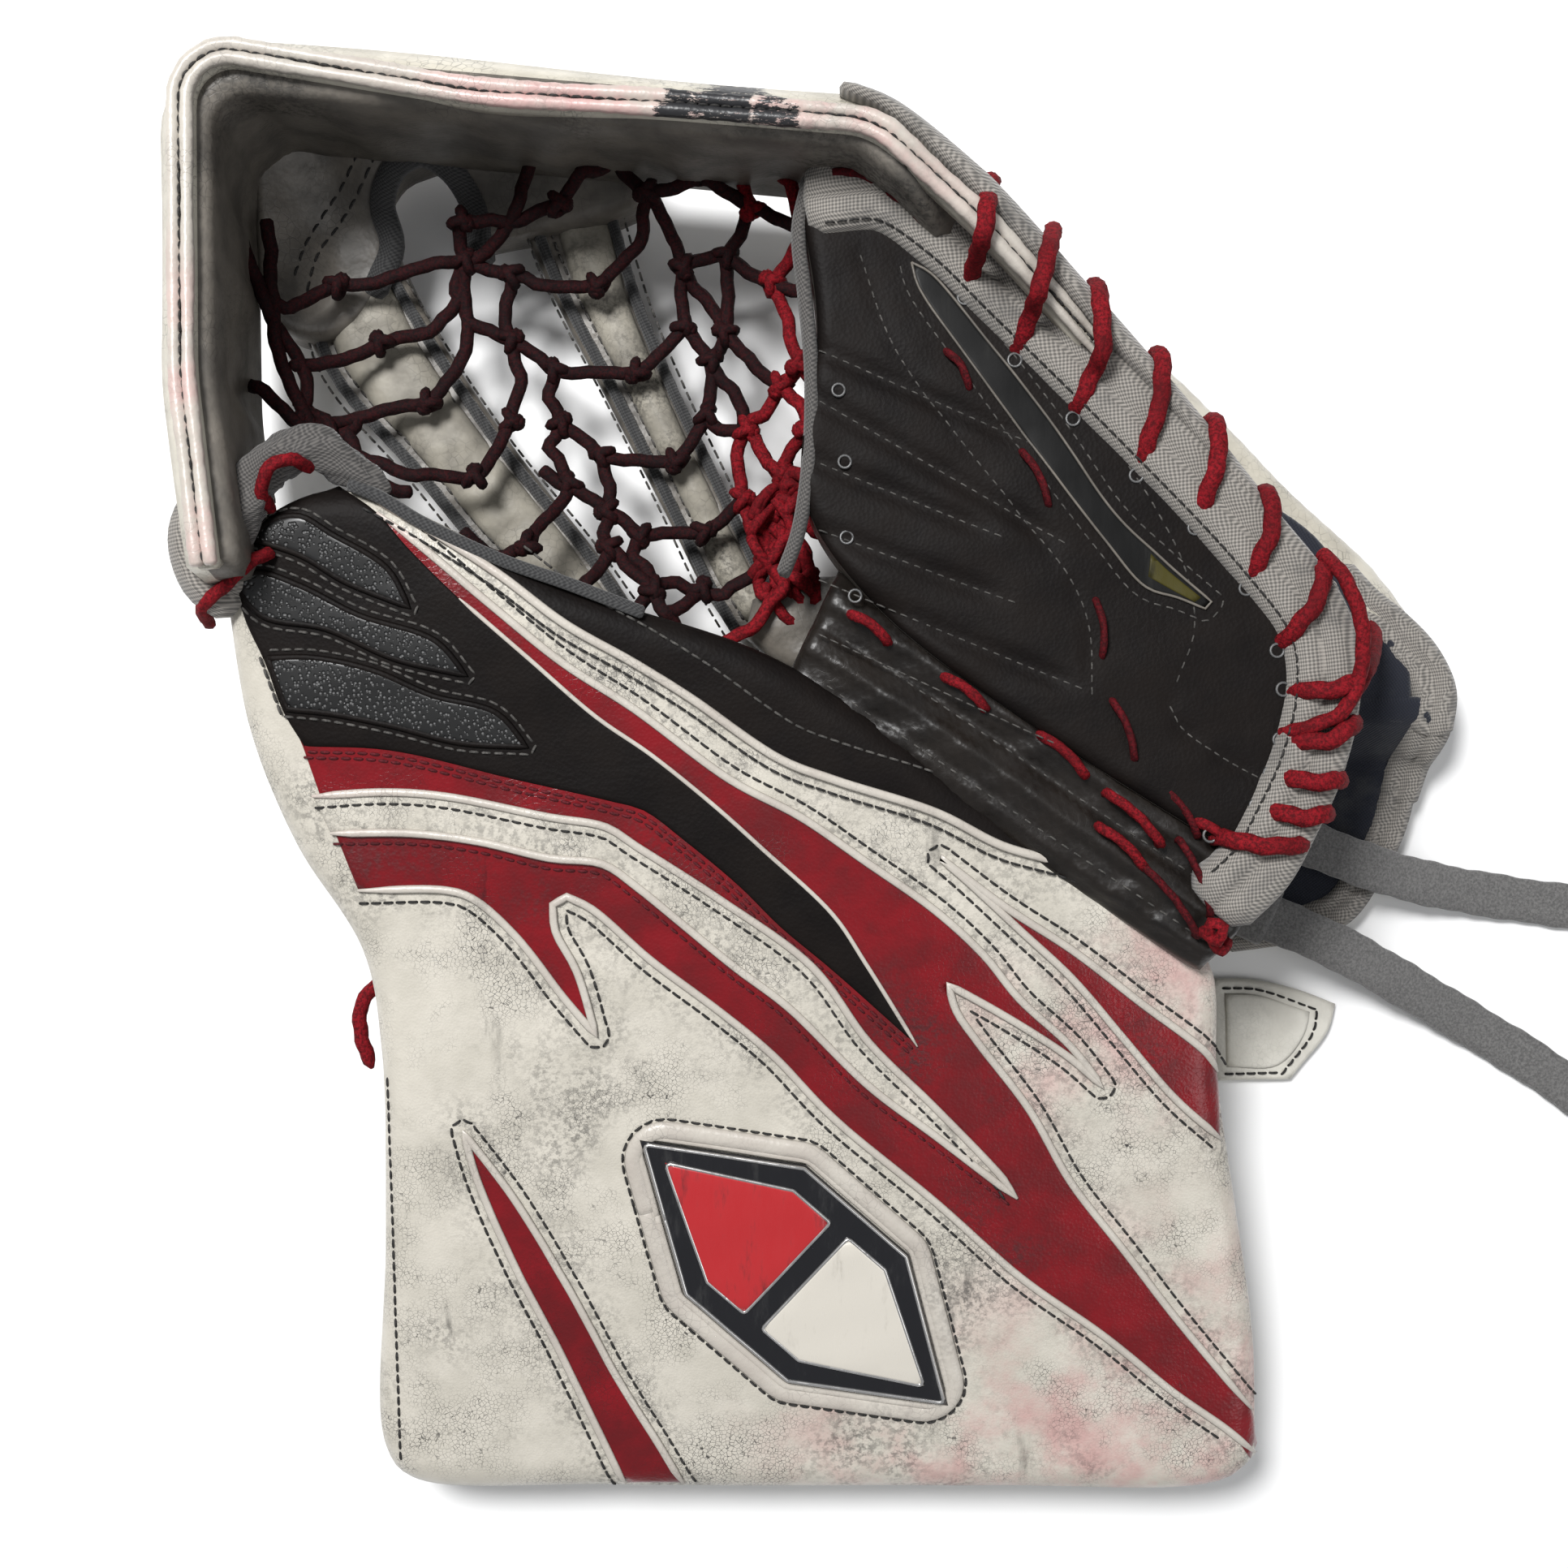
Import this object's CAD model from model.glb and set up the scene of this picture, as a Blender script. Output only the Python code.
"""The looks of a catching glove: leather, laces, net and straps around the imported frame."""
import math
import bpy
import numpy
from mathutils import Matrix, Vector
from mathutils.geometry import delaunay_2d_cdt


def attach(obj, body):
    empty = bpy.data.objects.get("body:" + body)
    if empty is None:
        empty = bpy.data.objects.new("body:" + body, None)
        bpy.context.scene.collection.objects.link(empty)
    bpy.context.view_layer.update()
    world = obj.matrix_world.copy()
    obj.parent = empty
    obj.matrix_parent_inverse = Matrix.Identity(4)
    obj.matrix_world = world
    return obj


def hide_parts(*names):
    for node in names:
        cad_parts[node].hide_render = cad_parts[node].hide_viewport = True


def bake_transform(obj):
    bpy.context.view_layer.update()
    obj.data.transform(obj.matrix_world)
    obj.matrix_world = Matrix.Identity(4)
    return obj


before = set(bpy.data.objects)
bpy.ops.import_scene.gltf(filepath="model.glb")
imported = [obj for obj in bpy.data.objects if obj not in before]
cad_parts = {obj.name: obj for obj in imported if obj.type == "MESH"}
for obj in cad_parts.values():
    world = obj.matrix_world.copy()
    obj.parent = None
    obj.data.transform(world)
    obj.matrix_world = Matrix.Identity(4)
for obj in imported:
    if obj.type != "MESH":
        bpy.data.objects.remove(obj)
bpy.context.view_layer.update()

# Every outline and height below is in millimetres, in the row frame; MM turns them to metres.
MM = 0.001
UP = (0, 0, 1)
# The camera looks straight down from here, in metres.
CAMERA_PLACE = (-0.016, 0.007, 0.5)

# The break: the folding line between cuff and palm, and the direction across it.
BREAK_START = Vector((93.3, -20.8))
BREAK_ALONG = Vector((-0.82887, 0.55945))
BREAK_ACROSS = Vector((0.55945, 0.82887))
BREAK_LENGTH = 310.7


def off_break(across, *shares):
    """Points at shares of the break's length, that far across it towards the palm."""
    return [
        tuple(BREAK_START + BREAK_ALONG * BREAK_LENGTH * share + BREAK_ACROSS * across)
        for share in shares
    ]


# ---------------------------------------------------------------- lines

def smooth_line(points, step, closed=True, corner=50.0):
    """A smooth line through the points, about step apart, that keeps the sharp corners."""
    count = len(points)
    knots = [Vector(point) for point in points]

    def turn(index):
        before = knots[index] - knots[index - 1]
        after = knots[(index + 1) % count] - knots[index]
        return math.degrees(before.angle(after, 0.0))

    sharp = {index for index in range(count) if turn(index) > corner}
    if not closed:
        sharp |= {0, count - 1}
    line = []
    for index in range(count if closed else count - 1):
        other = (index + 1) % count
        here = knots[index]
        there = knots[other]
        chord = there - here
        before = here - chord if index in sharp else knots[index - 1]
        after = there + chord if other in sharp else knots[(other + 1) % count]
        gap_in = max((here - before).length, 0.01) ** 0.5
        gap = max(chord.length, 0.01) ** 0.5
        gap_out = max((after - there).length, 0.01) ** 0.5
        leave = ((here - before) / gap_in - (there - before) / (gap_in + gap) + chord / gap) * gap
        arrive = (chord / gap - (after - here) / (gap + gap_out) + (after - there) / gap_out) * gap
        parts = max(1, round(chord.length / step))
        for part in range(parts):
            t = part / parts
            line.append(
                here * (2 * t**3 - 3 * t**2 + 1)
                + leave * (t**3 - 2 * t**2 + t)
                + there * (3 * t**2 - 2 * t**3)
                + arrive * (t**3 - t**2)
            )
    if not closed:
        line.append(knots[-1])
    return line


def rounded_line(points, radii, step):
    """Straight runs joined by arcs of the given radii, about step apart."""
    knots = [Vector(point) for point in points]
    line = [knots[0]]

    def run_to(target):
        start = line[-1]
        parts = max(1, round((target - start).length / step))
        line.extend(start.lerp(target, (part + 1) / parts) for part in range(parts))

    for index, radius in enumerate(radii, start=1):
        arriving = (knots[index] - knots[index - 1]).normalized()
        leaving = (knots[index + 1] - knots[index]).normalized()
        angle = arriving.angle(leaving, 0.0)
        reach = radius * math.tan(angle / 2)
        run_to(knots[index] - arriving * reach)
        side = (leaving - arriving).normalized()
        centre = knots[index] + side * (radius / math.cos(angle / 2))
        parts = max(2, round(radius * angle / step))
        first = line[-1] - centre
        last = knots[index] + leaving * reach - centre
        for part in range(1, parts + 1):
            share = part / parts
            weight_in = math.sin((1 - share) * angle) / math.sin(angle)
            weight_out = math.sin(share * angle) / math.sin(angle)
            line.append(centre + first * weight_in + last * weight_out)
    run_to(knots[-1])
    return line


def spaced(line, pitch):
    """(point, direction) every pitch along a line."""
    found = []
    carried = pitch / 2
    for start, end in zip(line, line[1:]):
        length = (end - start).length
        if length > 6 * pitch:
            continue
        while carried < length:
            found.append((start.lerp(end, carried / length), (end - start).normalized()))
            carried += pitch
        carried -= length
    return found


def beside(line, distance):
    """The flat line moved to its left, fanned round outer corners and trimmed at inner ones."""
    flat = [Vector(point[:2]) for point in line]
    moved = []
    for index, point in enumerate(flat):
        before = point - flat[index - 1] if index else flat[1] - point
        after = flat[index + 1] - point if index + 1 < len(flat) else before
        if before.length < 1e-6 or after.length < 1e-6:
            continue
        bend = before.angle_signed(after, 0.0)
        parts = max(1, math.ceil(abs(bend) / 0.35)) if bend * distance > 0.3 else 0
        start = Vector((-before.y, before.x)).normalized()
        for part in range(parts + 1):
            share = part / parts if parts else 0.5
            turned = start.copy()
            turned.rotate(Matrix.Rotation(-bend * share, 2))
            moved.append(point + turned * distance)
    nearest = distance_to(numpy.array([tuple(p) for p in moved]), numpy.array(
        [tuple(p) for p in flat + flat[-2:0:-1]]))
    return [p for p, away in zip(moved, nearest) if away > abs(distance) * 0.94]


def fillet_loop(points, radius, step):
    """A closed line of straight runs with rounded corners."""
    corners = [Vector(point) for point in points]
    start = tuple((corners[-1] + corners[0]) / 2)
    return rounded_line([start] + [tuple(p) for p in points] + [start], [radius] * len(points),
                        step)


def laid(line, surface, lift=0.0):
    """A flat line put on a surface, that high above it."""
    return [Vector((p[0], p[1], float(surface(p[0], p[1])) + lift)) for p in line]


def distance_to(points, ring):
    """Each point's distance to a closed ring, as arrays."""
    run = numpy.roll(ring, -1, axis=0) - ring
    squared = numpy.maximum((run**2).sum(1), 1e-9)
    nearest = numpy.full(len(points), 1e9)
    for first in range(0, len(points), 2000):
        part = points[first:first + 2000, None, :] - ring[None]
        share = numpy.clip((part * run[None]).sum(2) / squared, 0, 1)
        away = part - share[..., None] * run[None]
        nearest[first:first + 2000] = numpy.sqrt((away**2).sum(2)).min(1)
    return nearest


def within(points, ring):
    """Whether each point is inside a closed ring."""
    following = numpy.roll(ring, -1, axis=0)
    result = numpy.zeros(len(points), bool)
    for first, second in zip(ring, following):
        crosses = (first[1] > points[:, 1]) != (second[1] > points[:, 1])
        rise = second[1] - first[1]
        rise = rise if abs(rise) > 1e-9 else 1e-9
        edge_x = first[0] + (points[:, 1] - first[1]) / rise * (second[0] - first[0])
        result ^= crosses & (points[:, 0] < edge_x)
    return result


def swell(x, y, size, seed=0.0):
    """A smooth uneven field between about -1 and 1, its bumps about size across."""
    turn = 2 * math.pi / size
    return (
        numpy.sin(turn * (x * 0.8 + y * 0.6) + seed)
        + numpy.sin(turn * (x * -0.5 + y * 0.9) * 0.77 + seed * 2.1 + 1.3)
        + numpy.sin(turn * (x * 0.3 - y * 1.1) * 1.31 + seed * 0.7 + 2.9)
    ) / 3


def level(height):
    """A flat surface at one height."""
    return lambda x, y: height + 0 * x


def groove(x, y, start, end, width, depth):
    """How deep a sewn channel from start to end presses in at x, y."""
    run = (end[0] - start[0], end[1] - start[1])
    length = run[0] ** 2 + run[1] ** 2
    share = ((x - start[0]) * run[0] + (y - start[1]) * run[1]) / length
    nearest = numpy.clip(share, 0, 1)
    away = (x - start[0] - nearest * run[0]) ** 2 + (y - start[1] - nearest * run[1]) ** 2
    fade = numpy.clip((1.0 - share) * math.sqrt(length) / 9, 0, 1)
    return depth * numpy.exp(-away / width**2) * fade


# ---------------------------------------------------------------- meshes

class Mesh:
    """Points and faces gathered in millimetres, made into one object at the end."""

    def __init__(self):
        self.points = []
        self.faces = []
        self.slots = []

    def add(self, points, faces, slot=0):
        start = len(self.points)
        self.points.extend(tuple(point) for point in points)
        self.faces.extend(tuple(start + index for index in face) for face in faces)
        self.slots.extend([slot] * len(faces))

    def make(self, name, *materials):
        """One object of all the points and faces; a CAD node's own name is left to it."""
        if name in bpy.data.objects:
            name = name + "_skin"
        data = bpy.data.meshes.new(name)
        data.from_pydata([[c * MM for c in point] for point in self.points], [], self.faces)
        for material in materials:
            data.materials.append(material)
        data.polygons.foreach_set("material_index", self.slots)
        data.polygons.foreach_set("use_smooth", [True] * len(self.faces))
        data.update()
        made = bpy.data.objects.new(name, data)
        bpy.context.scene.collection.objects.link(made)
        return made


def board(mesh, outline, top, bottom, edge=3.0, drop=None, spacing=4.0, slots=(0, 0, 0),
          under=None, corner=50.0):
    """A closed padded board on an outline, its upper and lower edges rounded over."""
    drop = edge if drop is None else drop
    under = drop if under is None else under
    ring = numpy.array([tuple(p)[:2] for p in smooth_line(outline, spacing, corner=corner)])
    following = numpy.roll(ring, -1, axis=0)
    if (ring[:, 0] * following[:, 1] - following[:, 0] * ring[:, 1]).sum() < 0:
        ring = ring[::-1].copy()
    run = numpy.roll(ring, -1, axis=0) - numpy.roll(ring, 1, axis=0)
    inward = numpy.stack([-run[:, 1], run[:, 0]], 1)
    inward /= numpy.maximum(numpy.linalg.norm(inward, axis=1), 1e-9)[:, None]
    layers = [ring]
    for share in (0.1, 0.32, 0.65, 1.0):
        row = ring + inward * share * edge
        keep = within(row, ring) & (distance_to(row, ring) > 0.93 * share * edge)
        layers.append(row[keep])
    low = ring.min(0)
    high = ring.max(0)
    rows = numpy.arange(low[1], high[1], spacing * 0.87)
    grid = []
    for row_index, row in enumerate(rows):
        places = numpy.arange(low[0] + (row_index % 2) * spacing / 2, high[0], spacing)
        grid.append(numpy.stack([places, numpy.full(len(places), row)], 1))
    grid = numpy.concatenate(grid)
    grid = grid[within(grid, ring)]
    if len(grid):
        grid = grid[distance_to(grid, ring) > edge + spacing * 0.45]
    layers.append(grid)
    flat = numpy.concatenate(layers)
    count = len(ring)
    border_edges = [(index, (index + 1) % count) for index in range(count)]
    solved = delaunay_2d_cdt([Vector(p) for p in flat], border_edges, [], 0, 1e-5, True)
    points = numpy.array([tuple(p) for p in solved[0]])
    triangles = numpy.array([tuple(face) for face in solved[2]])
    middles = points[triangles].mean(1)
    triangles = [tuple(int(i) for i in face) for face in triangles[within(middles, ring)]]
    place = {}
    for index, origins in enumerate(solved[3]):
        for origin in origins:
            place[origin] = index
    border = [place[index] for index in range(count)]
    depth = distance_to(points, ring)
    depth[border] = 0.0
    share = numpy.clip(depth / max(edge, 1e-6), 0, 1)
    fall = 1 - numpy.sqrt(1 - (1 - share) ** 2)
    upper = numpy.asarray(top(points[:, 0], points[:, 1]), float) - fall * drop
    lower = numpy.asarray(bottom(points[:, 0], points[:, 1]), float) + fall * under
    lower = numpy.minimum(lower, upper - 0.05)
    total = len(points)
    mesh.add(numpy.column_stack([points, upper]), triangles, slots[0])
    start = len(mesh.points) - total
    mesh.add(numpy.column_stack([points, lower]), [face[::-1] for face in triangles], slots[2])
    low_start = len(mesh.points) - total
    heights = [(upper[i], lower[i]) for i in border]
    levels = max(1, round(max(a - b for a, b in heights) / (spacing * 1.5)))
    previous = [start + i for i in border]
    for level in range(1, levels + 1):
        if level == levels:
            current = [low_start + i for i in border]
        else:
            share = level / levels
            current = []
            for (a, b), i in zip(heights, border):
                current.append(len(mesh.points))
                mesh.points.append((points[i][0], points[i][1], a + (b - a) * share))
        for k in range(count):
            j = (k + 1) % count
            mesh.faces.append((previous[j], previous[k], current[k], current[j]))
            mesh.slots.append(slots[1])
        previous = current
    return ring


def sweep(mesh, line, section, up=None, slots=None, cap=0.5):
    """Carries a closed section along a line. section(share, length) gives (side, up) pairs."""
    total = sum((b - a).length for a, b in zip(line, line[1:]))
    travelled = 0.0
    rings = []
    last_up = None
    count = len(line)
    for index, point in enumerate(line):
        run = (line[min(index + 1, count - 1)] - line[max(index - 1, 0)]).normalized()
        if up is not None:
            above = Vector(up(point)) if callable(up) else Vector(up)
        else:
            above = last_up or (Vector((0, 0, 1)) if abs(run.z) < 0.9 else Vector((1, 0, 0)))
        side = run.cross(above).normalized()
        above = side.cross(run).normalized()
        last_up = above
        if index:
            travelled += (point - line[index - 1]).length
        pairs = section(travelled / max(total, 1e-6), travelled)
        rings.append((point, run, side, above, pairs))
    start = len(mesh.points)
    size = len(rings[0][4])
    for point, run, side, above, pairs in rings:
        for a, b in pairs:
            mesh.points.append(tuple(point + side * a + above * b))
    for index in range(count - 1):
        here = start + index * size
        there = here + size
        for k in range(size):
            j = (k + 1) % size
            mesh.faces.append((here + k, here + j, there + j, there + k))
            mesh.slots.append(slots[k] if slots else 0)
    for end, sign in ((0, -1), (count - 1, 1)):
        point, run, side, above, pairs = rings[end]
        reach = cap * min(max(abs(a) for a, b in pairs), max(abs(b) for a, b in pairs))
        middle_a = sum(a for a, b in pairs) / size
        middle_b = sum(b for a, b in pairs) / size
        inner = len(mesh.points)
        for a, b in pairs:
            a = middle_a + (a - middle_a) * 0.7
            b = middle_b + (b - middle_b) * 0.7
            mesh.points.append(tuple(point + run * sign * reach * 0.8 + side * a + above * b))
        tip = len(mesh.points)
        mesh.points.append(tuple(point + run * sign * reach + side * middle_a + above * middle_b))
        outer = start + end * size
        for k in range(size):
            j = (k + 1) % size
            quad = (outer + k, outer + j, inner + j, inner + k)
            fan = (inner + k, inner + j, tip)
            mesh.faces.append(quad if sign > 0 else quad[::-1])
            mesh.faces.append(fan if sign > 0 else fan[::-1])
            mesh.slots.extend([slots[k] if slots else 0] * 2)


def tube(mesh, line, radius, sides=8, flat=1.0, braid=0.0, pitch=6.0, up=None, taper=0.0, slot=0):
    """A round or flattened cord along a line. braid is how far its strands stand out."""
    def section(share, length):
        size = radius
        if taper:
            size *= min(1.0, 0.35 + min(share, 1 - share) / taper)
        pairs = []
        for index in range(sides):
            angle = 2 * math.pi * index / sides
            bump = 1 + braid * math.cos(3 * angle - 2 * math.pi * length / pitch)
            pairs.append((size * bump * math.cos(angle), size * bump * flat * math.sin(angle)))
        return pairs
    sweep(mesh, line, section, up=up, slots=[slot] * sides)


def stitches(mesh, line, surface, pitch=3.0, length=2.1, radius=0.34, lift=0.12, slot=0):
    """A row of sewn stitches along a flat line on a surface, each sunk at both ends."""
    for point, run in spaced([Vector(p[:2]) for p in line], pitch):
        row = []
        for share, sink in ((-0.5, -0.45), (-0.28, 0.0), (0.0, 0.12), (0.28, 0.0), (0.5, -0.45)):
            at = point + run * length * share
            row.append(Vector((at.x, at.y, float(surface(at.x, at.y)) + lift + sink)))
        tube(mesh, row, radius, sides=5, slot=slot)


def edging(path, surface, section, lift=0.0, step=2.0):
    """A new mesh: one section carried along a flat path that lies on a surface."""
    mesh = Mesh()
    line = laid(smooth_line(path, step, closed=False), surface, lift)
    sweep(mesh, line, section, up=UP)
    return mesh


TABLE_CLEAR = 0.2
CLOTH_STEPS = 20


def settled(piece):
    """The piece keeps the mesh that its modifiers make, and loses the modifiers."""
    graph = bpy.context.evaluated_depsgraph_get()
    piece.data = bpy.data.meshes.new_from_object(piece.evaluated_get(graph))
    piece.modifiers.clear()


def swelled(piece, cap, voxel=4.0):
    """The piece as filled cloth: swelled by pressure, no point moved further than cap.
    """
    remesh = piece.modifiers.new("even_mesh", "REMESH")
    remesh.mode = "VOXEL"
    remesh.voxel_size = voxel * MM
    settled(piece)
    before = numpy.array([tuple(v.co) for v in piece.data.vertices])
    cloth = piece.modifiers.new("filling", "CLOTH")
    cloth.settings.use_pressure = True
    cloth.settings.uniform_pressure_force = 4.0
    cloth.settings.effector_weights.gravity = 0.0
    for step in range(1, CLOTH_STEPS + 1):
        bpy.context.scene.frame_set(step)
    settled(piece)
    bpy.context.scene.frame_set(1)
    moved = numpy.array([tuple(v.co) for v in piece.data.vertices]) - before
    length = numpy.linalg.norm(moved, axis=1, keepdims=True)
    after = before + moved * numpy.minimum(1.0, cap * MM / numpy.maximum(length, 1e-9))
    after[:, 2] = numpy.maximum(after[:, 2], TABLE_CLEAR * MM)
    piece.data.vertices.foreach_set("co", after.ravel())
    piece.data.update()
    smooth = piece.modifiers.new("round", "SUBSURF")
    smooth.levels = 1
    settled(piece)
    piece.data.polygons.foreach_set("use_smooth", [True] * len(piece.data.polygons))
    return piece


def soft(piece, *nodes, slot=None, fill=None):
    """The piece stands for these CAD nodes and bends with the glove from cuff to palm."""
    if nodes:
        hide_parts(*nodes)
    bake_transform(piece)
    return piece


def carried(piece, body, *nodes, slot=None, fill=None):
    """The piece stands for these CAD nodes and moves with one body."""
    if nodes:
        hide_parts(*nodes)
    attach(piece, body)
    return piece


# ---------------------------------------------------------------- materials

class Paint:
    """A procedural material built from a few reusable node steps."""

    def __init__(self, name):
        self.material = bpy.data.materials.new(name)
        self.material.use_nodes = True
        self.tree = self.material.node_tree
        self.shader = self.tree.nodes["Principled BSDF"]
        self.place = self.node("ShaderNodeTexCoord").outputs["Object"]

    def node(self, kind, **settings):
        made = self.tree.nodes.new(kind)
        for key, value in settings.items():
            setattr(made, key, value)
        return made

    def feed(self, socket, value):
        if hasattr(value, "is_output"):
            self.tree.links.new(value, socket)
        else:
            socket.default_value = value

    def stretched(self, scale, turn=0.0):
        made = self.node("ShaderNodeMapping")
        self.feed(made.inputs["Vector"], self.place)
        made.inputs["Scale"].default_value = scale
        made.inputs["Rotation"].default_value = (0, 0, math.radians(turn))
        return made.outputs["Vector"]

    def cloud(self, size, detail=4.0, rough=0.55, place=None, warp=0.0):
        """Soft noise whose patches are about size millimetres across."""
        made = self.node("ShaderNodeTexNoise")
        self.feed(made.inputs["Vector"], place or self.place)
        made.inputs["Scale"].default_value = 1000.0 / size
        made.inputs["Detail"].default_value = detail
        made.inputs["Roughness"].default_value = rough
        made.inputs["Distortion"].default_value = warp
        return made.outputs["Fac"]

    def cells(self, size, feature="DISTANCE_TO_EDGE"):
        """Distances inside a pattern of cells about size millimetres across."""
        made = self.node("ShaderNodeTexVoronoi", feature=feature)
        self.feed(made.inputs["Vector"], self.place)
        made.inputs["Scale"].default_value = 1000.0 / size
        return made.outputs["Distance"]

    def span(self, value, low, high, to_low=0.0, to_high=1.0):
        """The value's stretch from low to high, eased on to another stretch."""
        made = self.node("ShaderNodeMapRange", interpolation_type="SMOOTHSTEP")
        self.feed(made.inputs["Value"], value)
        made.inputs["From Min"].default_value = low
        made.inputs["From Max"].default_value = high
        made.inputs["To Min"].default_value = to_low
        made.inputs["To Max"].default_value = to_high
        return made.outputs["Result"]

    def sum(self, operation, first, second):
        made = self.node("ShaderNodeMath", operation=operation)
        self.feed(made.inputs[0], first)
        self.feed(made.inputs[1], second)
        return made.outputs["Value"]

    def mix(self, factor, first, second):
        made = self.node("ShaderNodeMix", data_type="RGBA")
        self.feed(made.inputs["Factor"], factor)
        self.feed(made.inputs["A"], (*first, 1) if isinstance(first, tuple) else first)
        self.feed(made.inputs["B"], (*second, 1) if isinstance(second, tuple) else second)
        return made.outputs["Result"]

    def weave(self, pitch, turn=0.0):
        """A plain weave: crests of two crossing sets of threads."""
        parts = self.node("ShaderNodeSeparateXYZ")
        self.feed(parts.inputs["Vector"], self.stretched((1, 1, 1), turn))
        turns = 2000 * math.pi / pitch
        waves = []
        for axis in ("X", "Y"):
            across = self.sum("ADD", parts.outputs[axis], parts.outputs["Z"])
            waves.append(self.sum("SINE", self.sum("MULTIPLY", across, turns), 0.0))
        return self.sum("MULTIPLY", waves[0], waves[1])

    def near(self, centre, inner, outer):
        """1 within inner millimetres of a place, fading to 0 at outer."""
        made = self.node("ShaderNodeVectorMath", operation="DISTANCE")
        self.feed(made.inputs[0], self.place)
        made.inputs[1].default_value = [c * MM for c in centre]
        return self.span(made.outputs["Value"], outer * MM, inner * MM)

    def bump(self, height, strength, distance):
        made = self.node("ShaderNodeBump")
        self.feed(made.inputs["Height"], height)
        made.inputs["Strength"].default_value = strength
        made.inputs["Distance"].default_value = distance * MM
        self.feed(self.shader.inputs["Normal"], made.outputs["Normal"])

    def done(self, colour, rough, **plain):
        self.feed(self.shader.inputs["Base Color"],
                  (*colour, 1) if isinstance(colour, tuple) else colour)
        self.feed(self.shader.inputs["Roughness"], rough)
        for key, value in plain.items():
            self.shader.inputs[key.replace("_", " ").title().replace("Ior", "IOR")
                               ].default_value = value
        return self.material


def leather(name, colour, second, grime, wear=0.5, crackle=0.5, grain=0.9, low=0.34, high=0.6,
            stains=(), stain_colour=(0.52, 0.15, 0.17), streaks=0.3, specular=0.5, seam_wear=0.0,
            scars=()):
    """Worn leather: grain, fine cracks, rubbed-in grime, streaks and stained places."""
    paint = Paint(name)
    fine = paint.cells(grain, "F1")
    cracks = paint.cells(grain * 1.7)
    patches = paint.cloud(46, 5, 0.6, warp=0.4)
    cloud = paint.cloud(14, 4, 0.6)
    result = paint.mix(paint.span(cloud, 0.3, 0.7), colour, second)
    for centre, inner, outer, strength in stains:
        place = paint.sum("MULTIPLY", paint.near(centre, inner, outer),
                          paint.span(paint.cloud(22, 5, 0.65), 0.38, 0.66, 0.0, strength))
        result = paint.mix(place, result, stain_colour)
    worn = paint.span(patches, 0.62 - 0.2 * wear, 0.78 - 0.1 * wear)
    speck = paint.span(paint.cloud(1.5, 3, 0.7), 0.42, 0.62)
    if seam_wear:
        near = paint.node("ShaderNodeAttribute", attribute_name="seam_wear").outputs["Fac"]
        near = paint.sum("MULTIPLY", near, paint.span(paint.cloud(11, 4, 0.6), 0.3, 0.62))
        worn = paint.sum("MAXIMUM", worn, paint.sum("MULTIPLY", near, seam_wear))
    dirt = paint.sum("MULTIPLY", worn, paint.sum("MULTIPLY", speck, min(0.95, 1.1 * wear)))
    result = paint.mix(dirt, result, grime)
    lines = paint.sum("MULTIPLY", paint.span(cracks, 0.07, 0.0),
                      paint.span(paint.cloud(20, 4, 0.6), 0.42, 0.68, 0.0, crackle))
    result = paint.mix(lines, result, grime)
    drag = paint.cloud(9, 5, 0.65, place=paint.stretched((1.0, 0.16, 1.0), 55))
    result = paint.mix(paint.sum("MULTIPLY", paint.span(drag, 0.60, 0.74),
                                 paint.span(patches, 0.45, 0.62, 0.0, streaks)), result, grime)
    for centre, inner, outer in scars:
        rubbed = paint.cloud(3.4, 6, 0.85, place=paint.stretched((0.3, 1.0, 1.0), 3))
        ragged = paint.sum("ADD", paint.near(centre, inner, outer),
                           paint.span(rubbed, 0.32, 0.68, -0.75, 0.15))
        result = paint.mix(paint.span(ragged, 0.36, 0.5), result, (0.022, 0.022, 0.024))
    rough = paint.span(paint.sum("ADD", cloud, dirt), 0.35, 1.1, low, high)
    height = paint.sum("ADD", paint.sum("MULTIPLY", fine, 0.35),
                       paint.sum("ADD", paint.sum("MULTIPLY", lines, -0.5),
                                 paint.sum("MULTIPLY", paint.cloud(7, 3), 0.9)))
    paint.bump(height, 0.34, 0.5)
    return paint.done(result, rough, specular_ior_level=specular)


def fabric(name, colour, second, pitch, turn=0.0, rough=0.85, sheen=0.2, dirt=(0.05, 0.05, 0.05),
           depth=0.3):
    """A woven cloth or tape with uneven threads and rubbed-in dirt."""
    paint = Paint(name)
    threads = paint.span(paint.weave(pitch, turn), -0.9, 0.9)
    result = paint.mix(threads, second, colour)
    result = paint.mix(paint.span(paint.cloud(16, 5, 0.65), 0.5, 0.74, 0.0, 0.55), result, dirt)
    paint.bump(paint.sum("ADD", threads, paint.cloud(3, 3)), 0.5, depth)
    return paint.done(result, rough, sheen_weight=sheen)


WHITE = leather(
    "white_leather", (0.59, 0.555, 0.485), (0.50, 0.47, 0.405), (0.04, 0.038, 0.036),
    wear=0.56, crackle=1.0, grain=0.6, low=0.3, high=0.55, streaks=0.6, seam_wear=1.0, stains=(
        ((80, -160, 30), 20, 80, 0.45), ((86, -48, 50), 12, 46, 0.42),
        ((40, -62, 46), 8, 34, 0.3), ((10, -168, 30), 10, 50, 0.3),
    ))
CREAM = leather(
    "cream_leather", (0.58, 0.545, 0.46), (0.44, 0.41, 0.345), (0.03, 0.03, 0.03),
    wear=0.5, crackle=0.5, grain=1.2, low=0.3, high=0.5, scars=(
        ((-26, 170, 92), 10, 19), ((-44, 171, 92), 6, 13), ((-128, 179, 91), 3, 8)))
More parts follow.
